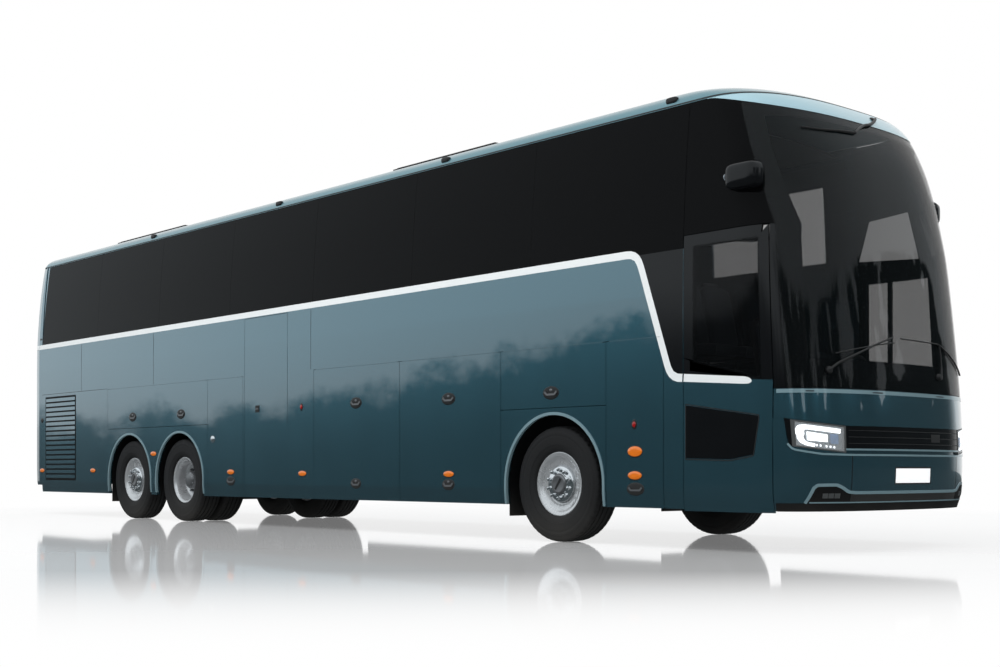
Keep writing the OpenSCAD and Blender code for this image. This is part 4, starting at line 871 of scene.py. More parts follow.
# ---- stripe and black corner ----
stripe_path = np.array([(-7.02, 2.467), (5.13, 2.467), (5.19, 2.455), (5.235, 2.415), (5.27, 2.34),
    (5.575, 1.466), (5.605, 1.425), (5.655, 1.402), (5.722, 1.397)])
stripe = ribbon(right, [(-6.82, 2.467)] + stripe_path[1:].tolist(), 0.066, -0.0016, 0.002, 260)
shared_with_door("white_stripe", stripe, stripe_white, "body_paint", "service_door_front")
tail_stripe = Shape()
tz = np.linspace(2.434, 2.50, 3)[:, None]
ts = np.linspace(1.0, 0.30, 40)[None]
tail_stripe.slab(tail(-ts, tz, 0.0), tail(-ts, tz, 0.003))
pair("tail_stripe", tail_stripe, stripe_white, "root", "body_paint")
door_stripe = ribbon(right, [(5.737, 1.397), (6.36, 1.349), (6.40, 1.343), (6.425, 1.338)],
    np.interp(np.linspace(0, 1, 60), [0, 0.9, 0.97, 1], [0.064, 0.058, 0.045, 0.012]), -0.0018, 0.002, 60)
build("door_stripe", door_stripe, stripe_white, "front_door", "body_paint")
left_stripe = ribbon(left, [(5.722, 1.397), (6.36, 1.349), (6.425, 1.340)],
    np.interp(np.linspace(0, 1, 60), [0, 0.9, 1], [0.064, 0.058, 0.012]), -0.0016, 0.002, 60)
build("stripe_end_left", left_stripe, stripe_white, "root", "body_paint")
black_corner = Shape()
cz = np.linspace(1.40, SILL_Z + 0.001, 40)[:, None]
cu = np.linspace(0, 1, 14)[None]
slant_x = np.interp(cz, [1.40, 1.425, 1.466, 2.34, 2.415, 2.455], [5.70, 5.605, 5.575, 5.27, 5.235, 5.19])
cx = slant_x * (1 - cu) + 5.727 * cu
black_corner.slab(right(cx, cz + 0 * cx, -0.0008), right(cx, cz + 0 * cx, 0.002))
shared_with_door("black_corner", black_corner, gloss_black, "black_trim", "service_door_front")

# ---- side details ----
def arch_lip(place, x, r, z_low, shape):
    """A rolled lip round a wheel opening: an arc above the hub and straight sides below it."""
    ang = np.linspace(math.pi, 0, 60)
    arc = np.stack([x + r * np.cos(ang), TYRE_R + r * np.sin(ang)], -1)
    path = np.concatenate([[(x - r, z_low)], arc, [(x + r, z_low)]])
    return ribbon(place, path, 0.026, -0.007, 0.02, 110, shape)


# Pale lips round the wheel arches: a painted highlight on their rolled edges.
lips = Shape()
arch_lip(right, FRONT_X, 0.632, 0.335, lips)
arch_lip(right, DRIVE_X, 0.607, 0.36, lips)
arch_lip(right, TAG_X, 0.607, 0.36, lips)
pair("arch_lips", lips, pale_trim_and_edge_highlight, "root", "body_paint")

HANDLES = {"luggage_door_SIDE_1": [(1.199, 1.357), (1.199, 0.506)], "luggage_door_SIDE_2": [(2.734, 1.341),
    (2.734, 0.507)], "flap_front_SIDE": [(4.177, 1.339)], "flap_rear_SIDE": [(-3.85, 1.352),
    (-2.55, 1.352)]}
for body, places in HANDLES.items():
    cup, grip = Shape(), Shape()
    for x, z in places:
        r = 0.110 if z > 1 else 0.100
        disc_on(right, x, z, r, r * 0.58, -0.003, 0.004, cup, 28)
        ribbon(right, [(x - r * 0.70, z + 0.012), (x - r * 0.45, z - 0.014), (x + r * 0.45, z - 0.014),
            (x + r * 0.70, z + 0.012)], 0.018, -0.010, 0.0, 24, grip)
        disc_on(right, x, z + 0.026, 0.020, 0.013, -0.006, 0.0, grip, 12)
    name = body.replace("_SIDE", "").replace("SIDE_", "")
    pair(name + "_cups", cup, satin_black, body, "black_trim")
    pair(name + "_grips", grip, hub_grey, body, "chrome")
for body, x, z in (("service_door_front", 5.204, 0.488), ("service_door_mid", -1.346, 0.518)):
    cup, grip = Shape(), Shape()
    disc_on(right, x, z, 0.105, 0.058, -0.003, 0.004, cup, 24)
    ribbon(right, [(x - 0.075, z + 0.012), (x - 0.05, z - 0.012), (x + 0.05, z - 0.012),
        (x + 0.075, z + 0.012)], 0.016, -0.008, 0.0, 20, grip)
    build(body + "_cup", cup, satin_black, body, "black_trim")
    build(body + "_grip", grip, hub_grey, body, "chrome")
lock = box_on(right, -0.789, -0.709, 1.318, 1.398, -0.004, 0.004, 4, 6)
build("mid_door_lock", lock, satin_black, "mid_door", "black_trim")
lock_pull = box_on(right, -0.777, -0.721, 1.352, 1.364, -0.009, 0.0, 4, 6)
build("mid_door_pull", lock_pull, hub_grey, "mid_door", "chrome")
cap = disc_on(right, -1.767, 1.021, 0.045, 0.045, -0.010, 0.004)
build("filler_cap", cap, chrome, "service_door_mid", "chrome")
for body, label, x, z in (("root", "side", 0.167, 1.35), ("service_door_front", "front", 5.19, 1.032)):
    build("switch_" + label, disc_on(right, x, z, 0.021, 0.026, -0.010, 0.004, None, 16), lamp_red, body,
        "lamp")
    build("switch_rim_" + label, disc_on(right, x, z, 0.034, 0.046, -0.003, 0.004, None, 18), satin_black,
        body, "black_trim")

marker, marker_rim = Shape(), Shape()
for x, z in ((-6.719, 0.642), (-5.036, 0.642), (-3.275, 0.860), (0.185, 0.610)):
    disc_on(right, x, z, 0.080, 0.030, -0.009, 0.003, marker, 20)
    disc_on(right, x, z, 0.090, 0.038, -0.003, 0.003, marker_rim, 20)
pair("side_markers", marker, lamp_amber, "root", "lamp")
pair("side_marker_rims", marker_rim, satin_black)
for body, x, z, wide, tall in (("luggage_door_right_2", 2.738, 0.609, 0.080, 0.030),
    ("service_door_mid", -1.346, 0.625, 0.080, 0.030), ("service_door_front", 5.198, 0.804, 0.084, 0.045),
    ("service_door_front", 5.198, 0.602, 0.080, 0.036)):
    label = body + "_marker" + ("_low" if z == 0.602 else "")
    build(label, disc_on(right, x, z, wide, tall, -0.011, 0.003, None, 24), lamp_amber, body, "lamp")
    build(label + "_rim", disc_on(right, x, z, wide + 0.010, tall + 0.009, -0.003, 0.003, None, 24),
        satin_black, body, "black_trim")

grille, grille_frame = Shape(), Shape()
box_on(right, -6.600, -5.580, 0.50, 1.72, -0.0012, 0.003, 4, 8, grille_frame)
for k in range(17):
    z = 0.535 + k * 0.0695
    u = np.linspace(-6.575, -5.604, 12)[None]
    lean = np.linspace(0, 1, 5)[:, None]
    out = right(u + 0 * lean, z + 0.046 * lean + 0 * u, -0.0045 + 0.0008 * lean + 0 * u)
    grille.slab(out, right(u + 0 * lean, z + 0.046 * lean + 0 * u, -0.002 + 0 * lean + 0 * u))
pair("louvre_field", grille_frame, trim_black)
pair("louvre_blades", grille, paint, "root", "body_paint")
build("tail_inlet", disc_on(right, -6.72, 1.381, 0.052, 0.038, -0.003, 0.004), satin_black)
pair("tail_corner_strip", box_on(right, -6.81, -6.745, 2.575, 2.60, -0.0015, 0.003, 3, 6), gloss_black)
upright = Shape()
for x in (-5.40, -3.275, 0.35):
    box_on(right, x - 0.0025, x + 0.0025, 1.76, 2.43, -0.0006, 0.003, 12, 3, upright)
box_on(right, -6.72, -4.60, 1.757, 1.762, -0.0006, 0.003, 3, 60, upright)
pair("belt_seams", upright, seal_rubber)

roof_lamps = Shape()
for x in (-3.48, -0.46, 2.556, 5.512):
    c = right(x, 3.715, 0.0)
    pillow((x, c[1], 3.717), (0.062, 0.022, 0.026), 0, 0.5, 0.5, 0, roof_lamps, 16, 8)
pair("roof_markers", roof_lamps, satin_black, "root", "lamp")
cornice = Shape()
ring0 = np.stack([roof_ring(z, -0.0015) for z in np.linspace(3.656, 3.668, 3)])
ring1 = np.stack([roof_ring(z, 0.004) for z in np.linspace(3.656, 3.668, 3)])
cornice.grid(np.concatenate([ring0, ring1[::-1]]), close_rows=True, close_cols=True)
build("cornice_line", cornice, satin_black)

# ---- camera pods ----
pods = Shape()
n_a, n_b = 40, 22
pa = np.linspace(0, 2 * math.pi, n_a, endpoint=False)[None]
pb = np.linspace(-math.pi / 2, math.pi / 2, n_b)[:, None]
power = lambda w, e: np.sign(w) * np.abs(w) ** e
along = power(np.cos(pb), 0.45) * power(np.cos(pa), 0.45)
outw = power(np.cos(pb), 0.45) * power(np.sin(pa), 0.45)
upw = power(np.sin(pb), 0.45) + 0 * pa
taper = 1 - 0.16 * (outw + 1) / 2
pods.tube_grid(np.stack([6.355 + 0.172 * along * taper, -(1.290 + 0.066 * outw),
    2.945 + 0.113 * upw * taper], -1))
box_on(right, 6.27, 6.42, 2.90, 2.985, -0.03, 0.002, 4, 4, pods)
pods_left = pods.mirror()
build("camera_pod_right", pods, gloss_black, "root", "black_trim", "mirrors")
build("camera_pod_left", pods_left, gloss_black)
for side, label in ((-1, "right"), (1, "left")):
    eye = Shape()
    for dy, r in ((1.305, 0.026), (1.265, 0.018)):
        ang = np.linspace(0, 2 * math.pi, 20, endpoint=False)[None]
        rr = np.array([0.001, 0.7, 1.0, 1.0])[:, None] * r
        dx = np.array([0, 0.003, 0.006, 0.014])[:, None] + 0 * ang
        eye.tube_grid(np.stack([6.186 + dx + 0 * rr, side * dy + rr * np.cos(ang), 2.95 + rr * np.sin(ang)],
            -1))
    build("camera_lens_" + label, eye, lens_glass, "root", "lamp")

# ---- wipers ----
def screen_line(points, lift, n=24):
    """Points (s, z) on the screen joined and lifted off it."""
    q = sample(points, np.linspace(0, 1, n))
    return nose(q[:, 0], q[:, 1], -lift)


arms, blades = Shape(), Shape()
WIPERS = (([(-0.46, 1.415), (-0.40, 1.47), (-0.25, 1.565), (-0.06, 1.70)], [(-0.41, 1.545), (-0.05, 1.66)]),
    ([(0.16, 1.415), (0.17, 1.50), (0.172, 1.60), (0.17, 1.69)], [(-0.02, 1.70), (0.17, 1.69),
    (0.50, 1.46)]))
for arm, blade in WIPERS:
    tube(screen_line(arm, 0.020), np.linspace(0.011, 0.006, 24), arms)
    p = nose(arm[0][0], arm[0][1], 0.0)
    disc_on(front, p[1], p[2], 0.03, 0.03, -0.026, 0.002, arms, 18)
    line_ = screen_line(blade, 0.007, 30)
    tube(line_, 0.0055, blades, 6)
    tube(screen_line(blade, 0.013, 30), 0.004, arms, 6)
tube(screen_line([(-0.07, 3.39), (0.0, 3.50), (0.07, 3.60)], 0.016), np.linspace(0.011, 0.014, 24), arms)
p = nose(0.06, 3.595, 0.0)
disc_on(front, p[1], p[2], 0.03, 0.02, -0.02, 0.002, arms, 18)
tube(screen_line([(-0.42, 3.352), (-0.28, 3.355), (-0.07, 3.388)], 0.010, 30),
    np.linspace(0.006, 0.013, 30), blades, 6)
build("wiper_arms", arms, satin_black, "root", "black_trim", "wipers")
build("wiper_blades", blades, rubber)

# ---- rear ----
def rear_box(y0, y1, z0, z1, t0, t1, shape=None, rows=8, cols=12):
    return box_on(back, y0, y1, z0, z1, t0, t1, rows, cols, shape)


red, amber_rear, dark_rear = Shape(), Shape(), Shape()
rear_box(-1.123, -0.997, 0.902, 1.598, 0.004, 0.02, dark_rear)
for z0, z1, target in ((1.40, 1.58, red), (1.24, 1.38, amber_rear), (1.06, 1.22, red), (0.92, 1.04, red)):
    rear_box(-1.117, -1.003, z0, z1, 0.0, 0.006, target)
pair("tail_lamp_field", dark_rear, gloss_black, "root", "lamp")
pair("tail_lamps_red", red, lamp_red, "root", "lamp")
pair("tail_lamps_amber", amber_rear, lamp_amber, "root", "lamp")
lid = rear_box(-0.895, 0.895, 0.645, 1.695, 0.003, 0.036, None, 14, 70)
build("engine_lid_skin", lid, paint, "engine_lid", "body_paint", "engine_lid")
vents = Shape()
for k in range(11):
    z = 0.72 + k * 0.042
    rear_box(-0.62, 0.62, z, z + 0.022, 0.0005, 0.006, vents, 3, 30)
build("engine_vents", vents, trim_black, "engine_lid", "black_trim")
# The rear blank plate glows with painted light from its material.
rear_plate = rear_box(-0.26, 0.26, 1.32, 1.43, 0.0003, 0.006)
build("rear_blank_plate", rear_plate, self_lit_plate_white, "engine_lid", "lamp")
pull = rear_box(-0.10, 0.10, 1.22, 1.245, 0.0003, 0.008)
build("engine_lid_handle", pull, satin_black, "engine_lid", "black_trim")
build("rear_rub_strip", rear_box(-1.14, 1.14, 0.47, 0.60, 0.0004, 0.01, None, 6, 50), satin_black)
build("high_brake_lamp", rear_box(-0.22, 0.22, 3.52, 3.545, 0.0006, 0.01), lamp_red, "root", "lamp")

# ---- wheels ----
TREAD_BLOCKS, RIB_HALF = 52, 0.085


def tread(w, r, ang):
    """Depth cut from the tyre: blocks notched at the shoulders and fine slots across the ribs."""
    crown = np.clip((r - (TYRE_R - 0.012)) / 0.008, 0, 1)
    notch = np.clip((np.cos(ang * TREAD_BLOCKS) - 0.55) / 0.2, 0,
        1) * np.clip((np.abs(w) - RIB_HALF) / 0.01, 0, 1)
    slot = np.clip((np.cos(ang * TREAD_BLOCKS + w * 30) - 0.88) / 0.08, 0, 1) * (np.abs(w) < RIB_HALF)
    return crown * (0.010 * notch + 0.004 * slot)


def tyre_profile():
    """The section: beads, flexed sidewalls with rings, shoulders, and a crown with four grooves."""
    side = [(0.1055, 0.2905), (0.118, 0.296), (0.126, 0.302), (0.134, 0.318), (0.1405, 0.340),
        (0.1425, 0.352), (0.1450, 0.353), (0.1462, 0.365), (0.1470, 0.385), (0.1473, 0.41), (0.1473, 0.428),
        (0.1462, 0.432), (0.1462, 0.437), (0.1471, 0.441), (0.1468, 0.455), (0.1438, 0.470),
        (0.1416, 0.473), (0.1405, 0.480), (0.1370, 0.492), (0.1320, 0.503), (0.1245, 0.512),
        (0.1165, 0.5165), (0.106, 0.519), (0.096, 0.5200)]
    crown = []
    for centre in (0.078, 0.028):
        crown += [(centre + 0.0075, 0.5208), (centre + 0.005, 0.508), (centre - 0.005, 0.508),
            (centre - 0.0075, 0.5212)]
    half = side + crown
    bore = [(-0.10, 0.286), (-0.05, 0.286), (0, 0.286), (0.05, 0.286), (0.10, 0.286)]
    return half + [(0.0, 0.5216)] + [(-w, r) for w, r in half[::-1]] + bore


def tyre_piece(name, places, body, node_name):
    shape = Shape()
    for x, y, side in places:
        lathe(x, y, side, tyre_profile(), shape, 208, tread)
    return build(name, shape, rubber, body, "tyre", node_name, angle=50)


def nuts(shape, x, y, side, base, radius, count=10, r=0.0165, height=0.036, turn=0.5):
    """Twelve-sided nuts under round caps, set in a ring."""
    for k in range(count):
        a = 2 * math.pi * (k + turn) / count
        cx, cz = x + radius * math.cos(a), TYRE_R + radius * math.sin(a)
        ang = np.linspace(0, 2 * math.pi, 12, endpoint=False)[None]
        rr = np.array([1.25, 1.25, 1.0, 1.0, 0.86, 0.5])[:, None] * r
        hh = np.array([0, 0.006, 0.007, 0.82, 0.97, 1.0])[:, None] * np.array([1, 1, 1, height, height,
            height])[:, None]
        p = np.stack([cx + rr * np.cos(ang), y + side * (base + hh + 0 * ang), cz + rr * np.sin(ang)], -1)
        shape.tube_grid(p)


def ovals(shape, x, y, side, surface, radius, ra, rb, count=10, turn=0.0):
    """Dark ovals in shallow cups that follow a sloping ring: painted shade where openings would be; surface
    gives the place along the axle at a radius.
    """
    for k in range(count):
        a = 2 * math.pi * (k + turn) / count
        q = np.linspace(0, 2 * math.pi, 22, endpoint=False)[None]
        rr = np.array([0.001, 0.5, 0.92, 1.0, 1.0])[:, None]
        radial = radius + rr * ra * np.cos(q)
        tangent = rr * rb * np.sin(q)
        w = surface(radial) + np.array([-0.006, -0.006, -0.004, 0.0012, -0.004])[:, None]
        cx = radial * math.cos(a) - tangent * math.sin(a)
        cz = radial * math.sin(a) + tangent * math.cos(a)
        shape.tube_grid(np.stack([x + cx, y + side * w, TYRE_R + cz], -1))


def front_rim(label, x, side, body, node_name):
    y = side * TYRE_Y
    disc = Shape()
    lathe(x, y, side, [(-0.106, 0.2885), (-0.112, 0.272), (-0.10, 0.258), (-0.05, 0.246), (0.02, 0.244),
        (0.05, 0.232), (0.052, 0.19), (0.040, 0.16), (-0.045, 0.14), (-0.045, 0.03), (0.03, 0.03),
        (0.03, 0.10), (0.058, 0.150), (0.066, 0.168), (0.071, 0.176), (0.0725, 0.182), (0.072, 0.190),
        (0.0735, 0.205), (0.0765, 0.222), (0.081, 0.234), (0.088, 0.243), (0.098, 0.252), (0.106, 0.262),
        (0.1075, 0.270), (0.1095, 0.276), (0.1115, 0.284), (0.110, 0.2885), (0.1055, 0.290)], disc, 120)
    build(label + "_disc", disc, alloy, body, "chrome", node_name, angle=40)
    hub = Shape()
    lathe(x, y, side, [(0.03, 0.04), (0.03, 0.145), (0.050, 0.160), (0.0705, 0.164), (0.078, 0.1655),
        (0.088, 0.164), (0.0945, 0.158), (0.098, 0.150), (0.0985, 0.105), (0.101, 0.100), (0.101, 0.04)],
        hub, 96)
    nuts(hub, x, y, side, 0.097, 0.129)
    build(label + "_hub", hub, chrome, body, "chrome", angle=40)
    capn = Shape()
    lathe(x, y, side, [(0.09, 0.02), (0.09, 0.093), (0.112, 0.092), (0.121, 0.088), (0.1265, 0.080),
        (0.1275, 0.072), (0.1262, 0.066), (0.1262, 0.004), (0.095, 0.004)], capn, 72)
    build(label + "_cap", capn, hub_grey, body, "chrome", angle=35)
    ring = Shape()
    lathe(x, y, side, [(0.099, 0.094), (0.099, 0.1015), (0.106, 0.1025), (0.111, 0.099), (0.112, 0.095),
        (0.108, 0.0925)], ring, 72)
    bar = Shape()
    q = np.linspace(-1, 1, 10)[None]
    w = np.linspace(-1, 1, 4)[:, None]
    a = math.radians(55)
    bx = 0.058 * q * math.cos(a) - 0.011 * w * math.sin(a)
    bz = 0.058 * q * math.sin(a) + 0.011 * w * math.cos(a)
    face = np.stack([x + bx, y + side * (0.1285 + 0 * bx), TYRE_R + bz], -1)
    foot = np.stack([x + bx, y + side * (0.1255 + 0 * bx), TYRE_R + bz], -1)
    bar.slab(face, foot)
    build(label + "_ring", ring, chrome, body, "chrome")
    build(label + "_bar", bar, satin_black, body, "chrome")
    holes = Shape()
    slope = lambda r: np.interp(r, [0.176, 0.182, 0.190, 0.205, 0.222, 0.234, 0.243, 0.252],
        [0.071, 0.0725, 0.072, 0.0735, 0.0765, 0.081, 0.088, 0.098])
    ovals(holes, x, y, side, slope, 0.211, 0.0205, 0.027, 10, 0.5)
    build(label + "_shade_ovals", holes, painted_hole_shade, body, "chrome")


def drive_rim(label, side, body, node_name):
    y, x = side * TYRE_Y, DRIVE_X
    disc = Shape()
    lathe(x, y, side, [(-0.106, 0.2885), (-0.108, 0.268), (-0.10, 0.25), (-0.098, 0.19), (-0.096, 0.04),
        (-0.072, 0.04), (-0.072, 0.172), (-0.070, 0.185), (-0.066, 0.205), (-0.056, 0.226), (-0.040, 0.240),
        (-0.010, 0.2465), (0.040, 0.2485), (0.075, 0.2525), (0.092, 0.259), (0.1035, 0.268),
        (0.1075, 0.276), (0.1105, 0.284), (0.109, 0.2885), (0.1055, 0.290)], disc, 120)
    lathe(x, side * TWIN_Y, side, [(-0.106, 0.2885), (-0.104, 0.268), (0.06, 0.256), (0.09, 0.19),
        (0.232, 0.172), (0.240, 0.165), (0.240, 0.15), (0.226, 0.15), (0.08, 0.165), (0.04, 0.24),
        (0.1, 0.262), (0.106, 0.2885)], disc, 96)
    build(label + "_dish", disc, alloy, body, "chrome", node_name, angle=40)
    hub = Shape()
    lathe(x, y, side, [(-0.09, 0.03), (-0.09, 0.150), (-0.066, 0.150), (-0.060, 0.140), (-0.052, 0.124),
        (0.030, 0.108), (0.040, 0.102), (0.043, 0.092), (0.056, 0.084), (0.060, 0.074), (0.060, 0.004),
        (0.0, 0.004)], hub, 72)
    nuts(hub, x, y, side, -0.071, 0.1625, height=0.05)
    build(label + "_hub", hub, hub_grey, body, "chrome", angle=40)
    studs = Shape()
    nuts(studs, x, y, side, 0.042, 0.085, 8, 0.0075, 0.012)
    build(label + "_studs", studs, chrome, body, "chrome")
    holes = Shape()
    slope = lambda r: np.interp(r, [0.172, 0.185, 0.205, 0.226, 0.240],
        [-0.072, -0.070, -0.066, -0.056, -0.040])
    ovals(holes, x, y, side, slope, 0.2065, 0.019, 0.026, 10, 0.5)
    build(label + "_shade_ovals", holes, painted_hole_shade, body, "chrome")


for side, label in ((-1, "right"), (1, "left")):
    tyre_piece("front_tyre_tread_" + label, [(FRONT_X, side * TYRE_Y, side)], "front_wheel_" + label,
        "front_tyre_" + label)
    tyre_piece("tag_tyre_tread_" + label, [(TAG_X, side * TYRE_Y, side)], "tag_wheel_" + label,
        "tag_tyre_" + label)
    tyre_piece("drive_tyres_tread_" + label, [(DRIVE_X, side * TYRE_Y, side),
        (DRIVE_X, side * TWIN_Y, side)], "drive_wheels_" + label, "drive_tyres_" + label)
    front_rim("front_wheel_" + label, FRONT_X, side, "front_wheel_" + label, "front_rim_" + label)
    front_rim("tag_wheel_" + label, TAG_X, side, "tag_wheel_" + label, "tag_rim_" + label)
    drive_rim("drive_wheel_" + label, side, "drive_wheels_" + label, "drive_rims_" + label)

# ---- inside ----
cushions, covers, bases = Shape(), Shape(), Shape()


def seat(x, y, z, width):
    """One seat: a channelled cushion and back, a headrest, a shell and a base under the cushion."""
    half = width / 2
    pillow((x + 0.225, y, z + 0.395), (0.225, half - 0.012, 0.062), -0.03, 0.35, 0.5, 3, cushions, 20, 9)
    pillow((x - 0.045, y, z + 0.755), (0.052, half - 0.014, 0.315), 0.22, 0.5, 0.35, 3, cushions, 20, 11)
    pillow((x - 0.165, y, z + 1.055), (0.038, half - 0.10, 0.062), 0.22, 0.5, 0.45, 0, covers, 16, 8)
    pillow((x - 0.100, y, z + 0.745), (0.028, half - 0.006, 0.345), 0.22, 0.5, 0.3, 0, bases, 16, 8)
    pillow((x + 0.20, y, z + 0.335), (0.20, half - 0.02, 0.022), 0.0, 0.3, 0.5, 0, bases, 12, 6)


row = 4.33
while row > -6.15:
    for side in (-1, 1):
        if side > 0 or row < -1.53 or row > 0.23:
            for k in (0, 1):
                seat(row, side * (0.265 + 0.225 + 0.45 * k), DECK_Z, 0.45)
            for k in (-0.215, 0.215):
                tube([(row + 0.18, side * 0.715 + k, DECK_Z), (row + 0.18, side * 0.715 + k,
                    DECK_Z + 0.32)], 0.022, bases, 8)
    row -= 0.8
seat(5.30, 0.59, DRIVER_Z, 0.52)
tube([(5.48, 0.59, DRIVER_Z), (5.48, 0.59, DRIVER_Z + 0.32)], [0.10, 0.06], bases, 14)
seat_pads = build("seat_pads", cushions, seat_cloth, "root", "seat_cloth", "seats", angle=60)
head_pads = build("seat_headrests", covers, seat_trim, "root", "seat_cloth", angle=60)
build("seat_shells", bases, dash_plastic, "root", "seat_cloth", angle=50)

desk = Shape()
dy = np.linspace(-0.435, 0.875, 40)[:, None]
outline = np.array([(6.31, 0.955), (6.66, 0.955), (6.655, 1.25), (6.64, 1.39), (6.55, 1.425), (6.44, 1.455),
    (6.36, 1.462), (6.30, 1.450), (6.22, 1.405), (6.165, 1.385), (6.155, 1.34), (6.165, 1.27), (6.22, 1.18),
    (6.30, 1.05)])
bulge = 0.035 * np.exp(-((dy - 0.56) / 0.24) ** 2)
dx = outline[None, :, 0] - 0.004 - bulge * (outline[None, :, 0] < 6.4) * 0.1
dz = outline[None, :, 1]
desk.tube_grid(np.stack([dx + 0 * dy, dy + 0 * dx, dz + 0 * dy], -1))
build("dashboard_top", desk, dash_plastic, "root", "dash", "dashboard")
dials = Shape()
for y, r in ((0.50, 0.055), (0.63, 0.055), (0.565, 0.024)):
    ang = np.linspace(0, 2 * math.pi, 24, endpoint=False)[None]
    rr = np.array([0.001, 0.8, 1.0, 1.0])[:, None] * r
    up = np.array([0.0, 0.0, 0.004, -0.01])[:, None]
    dials.tube_grid(np.stack([6.245 + rr * np.cos(ang) * 0.8 - 0.3 * up, y + rr * np.sin(ang),
        1.424 + rr * np.cos(ang) * 0.55 + up], -1))
build("dials", dials, dial_face, "root", "dash")
helm = Shape()
tilt = math.radians(65)
ua = np.linspace(0, 2 * math.pi, 48, endpoint=False)
# The wheel's plane holds y and a line leaning back; the axle points up and towards the driver.
axis_v = np.array([0, 1.0, 0])
helm_c = np.array([6.08, 0.56, 1.455])
lean_u = np.array([math.cos(tilt), 0.0, math.sin(tilt)])
rim_r = 0.205
va = np.linspace(0, 2 * math.pi, 12, endpoint=False)
spin = np.array([-math.sin(tilt), 0.0, math.cos(tilt)])
radial = np.cos(ua)[:, None] * lean_u + np.sin(ua)[:, None] * axis_v
ring_p = (helm_c + rim_r * radial)[:, None] + 0.0135 * (np.cos(va)[None, :, None] * radial[:,
    None] + np.sin(va)[None, :, None] * spin)
helm.grid(ring_p, close_rows=True, close_cols=True)
for a in (90, 210, 330):
    d = math.cos(math.radians(a + 90)) * lean_u + math.sin(math.radians(a + 90)) * axis_v
    tube(np.linspace(helm_c + 0.03 * d - 0.02 * spin, helm_c + 0.2 * d, 8), 0.011, helm, 8)
tube(np.linspace(helm_c + 0.005 * spin, helm_c - 0.19 * spin, 6), [0.05, 0.052, 0.04, 0.034, 0.034, 0.036],
    helm, 20)
build("steering_wheel", helm, dash_plastic, "root", "dash", angle=50)

lining = Shape()
lx = np.linspace(-6.55, 5.55, 40)[:, None]
ly = np.linspace(-1.10, 1.10, 21)[None]
ceil_z = 3.62 - 0.05 * (ly / 1.1) ** 4
lining.slab(np.stack([lx + 0 * ly, ly + 0 * lx, ceil_z + 0 * lx], -1),
    np.stack([lx + 0 * ly, ly + 0 * lx, ceil_z + 0.012 + 0 * lx], -1))
build("ceiling", lining, dark_lining)
racks = Shape()
section = np.array([(-1.13, 3.16), (-0.86, 3.10), (-0.80, 3.13), (-0.80, 3.20), (-0.83, 3.22),
    (-1.13, 3.24)])
rack_x = np.linspace(-6.4, 4.85, 30)[:, None]
racks.tube_grid(np.stack([rack_x + 0 * section[None, :, 0], section[None, :, 0] + 0 * rack_x,
    section[None, :, 1] + 0 * rack_x], -1))
pair("luggage_rack", racks, dark_lining)

# ---- stage, light and camera ----
FLOOR_R, TO_CAMERA = 34, (0.747, -0.665, 0)
floor_mesh = bpy.data.meshes.new("floor")
fa = np.linspace(0, 2 * math.pi, 96, endpoint=False)
floor_mesh.from_pydata(np.stack([FLOOR_R * np.cos(fa), FLOOR_R * np.sin(fa), -0.0005 + 0 * fa],
    -1).tolist(), [],
    [list(range(96))])
floor = bpy.data.objects.new("floor", floor_mesh)
bpy.context.scene.collection.objects.link(floor)
floor_mat = bpy.data.materials.new("floor")
floor_mat.use_nodes = True
ft = floor_mat.node_tree
base = ft.nodes["Principled BSDF"]
base.inputs["Base Color"].default_value = (0.86, 0.86, 0.86, 1)
base.inputs["Roughness"].default_value = 0.05
base.inputs["Specular IOR Level"].default_value = 0.55
place = node(ft, "TexCoord").outputs["Object"]
dist = node(ft, "VectorMath", [(0, place)], operation="LENGTH").outputs["Value"]
fade = node(ft, "MapRange", [("Value", dist)], _1=8.0, _2=12.0, interpolation_type="SMOOTHSTEP").outputs[0]
white = node(ft, "Emission", Color=(1, 1, 1, 1))
mix = node(ft, "MixShader", [(0, fade), (1, base.outputs[0]), (2, white.outputs[0])])
near = node(ft, "VectorMath", [(0, place)], operation="DOT_PRODUCT", _1=TO_CAMERA).outputs["Value"]
pale = node(ft, "MapRange", [("Value", near)], _1=7.5, _2=11.4, _3=0.15, _4=0.95).outputs[0]
mix = node(ft, "MixShader", [(0, pale), (1, mix.outputs[0]), (2, white.outputs[0])])
seen = node(ft, "LightPath").outputs["Is Glossy Ray"]
dim = node(ft, "Emission", Color=(0.075, 0.09, 0.095, 1))
mix = node(ft, "MixShader", [(0, seen), (1, mix.outputs[0]), (2, dim.outputs[0])])
ft.links.new(mix.outputs[0], ft.nodes["Material Output"].inputs[0])
floor_mesh.materials.append(floor_mat)

world = bpy.data.worlds.new("studio")
bpy.context.scene.world = world
world.use_nodes = True
wt = world.node_tree
rays = node(wt, "LightPath")
way = node(wt, "TexCoord").outputs["Generated"]
xyz = node(wt, "SeparateXYZ", [("Vector", way)])
rough_edge = node(wt, "TexNoise", [("Vector", way)], Scale=22.0, Detail=6.0, Roughness=0.65)
height = maths(wt, "MULTIPLY_ADD", maths(wt, "SUBTRACT", rough_edge.outputs[0], 0.5), 0.07, xyz.outputs[2])
ahead = node(wt, "MapRange", [("Value", xyz.outputs[0])], _1=0.0, _2=0.4, _4=0.26).outputs[0]
patches = node(wt, "TexNoise", [("Vector", way)], Scale=7.0, Detail=3.0)
gap_in = node(wt, "MapRange", [("Value", patches.outputs[0])], _1=0.42, _2=0.50, _3=0.30, _4=1.0).outputs[0]
ahead = maths(wt, "MULTIPLY", ahead, gap_in)
hill = maths(wt, "MAXIMUM", maths(wt, "MULTIPLY_ADD", xyz.outputs[1], -0.33, -0.175), ahead)
height = maths(wt, "SUBTRACT", height, hill)
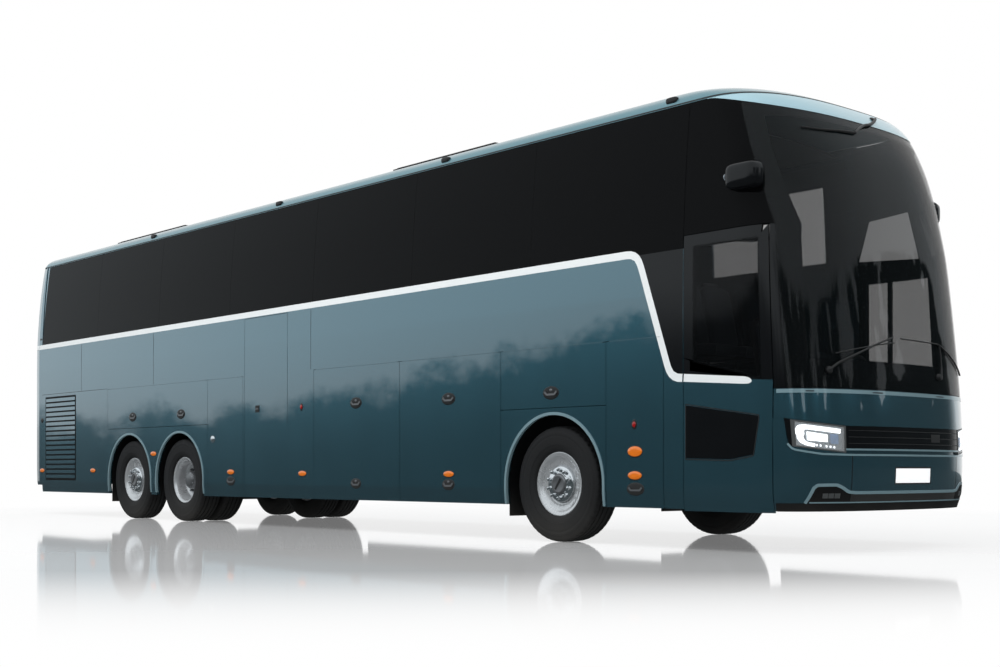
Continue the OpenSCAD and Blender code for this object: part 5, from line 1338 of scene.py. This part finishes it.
rise = node(wt, "MapRange", [("Value", height)], _1=0.026, _2=0.046,
    interpolation_type="SMOOTHSTEP").outputs[0]
facing = maths(wt, "MAXIMUM", xyz.outputs[0], maths(wt, "MULTIPLY", xyz.outputs[1], -1.0))
dark_side = node(wt, "MapRange", [("Value", facing)], _1=-0.05, _2=0.25,
    interpolation_type="SMOOTHSTEP").outputs[0]
low_sky = blend(wt, rise, (0.055, 0.07, 0.075, 1), (0.86, 0.93, 0.97, 1))
mirror_sky = blend(wt, dark_side, (1, 1, 1, 1), low_sky)
plain = maths(wt, "MAXIMUM", rays.outputs["Is Camera Ray"], rays.outputs["Is Transmission Ray"])
shown = blend(wt, rays.outputs["Is Glossy Ray"], (0.66, 0.68, 0.70, 1), mirror_sky)
shown = blend(wt, plain, shown, (1, 1, 1, 1))
background = wt.nodes["Background"]
wt.links.new(shown, background.inputs[0])
background.inputs[1].default_value = 1.0

KEY_SIZE, KEY_POWER, KEY_PLACE = (16.0, 9.0), 1150.0, (3.0, -7.0, 13.0)
key_data = bpy.data.lights.new("key", "AREA")
key_data.shape, key_data.energy = "RECTANGLE", KEY_POWER
key_data.size, key_data.size_y = KEY_SIZE
key = bpy.data.objects.new("key", key_data)
bpy.context.scene.collection.objects.link(key)
key.location = KEY_PLACE
key.rotation_euler = (Vector((0, 0, 0.5)) - key.location).to_track_quat("-Z", "Y").to_euler()
key.visible_glossy = False

LENS, SENSOR, SHIFT_UP = 49.96, 36.0, 0.1367
CAMERA_PLACE, CAMERA_TURN = (13.170, -9.897, 0.646), 48.31
camera_data = bpy.data.cameras.new("camera")
camera_data.sensor_width, camera_data.lens, camera_data.shift_y = SENSOR, LENS, SHIFT_UP
camera = bpy.data.objects.new("camera", camera_data)
bpy.context.scene.collection.objects.link(camera)
camera.location = CAMERA_PLACE
camera.rotation_euler = (math.radians(90), 0, math.radians(CAMERA_TURN))
camera_data.clip_end = 500
bpy.context.scene.camera = camera
bpy.context.scene.view_settings.view_transform = "Standard"
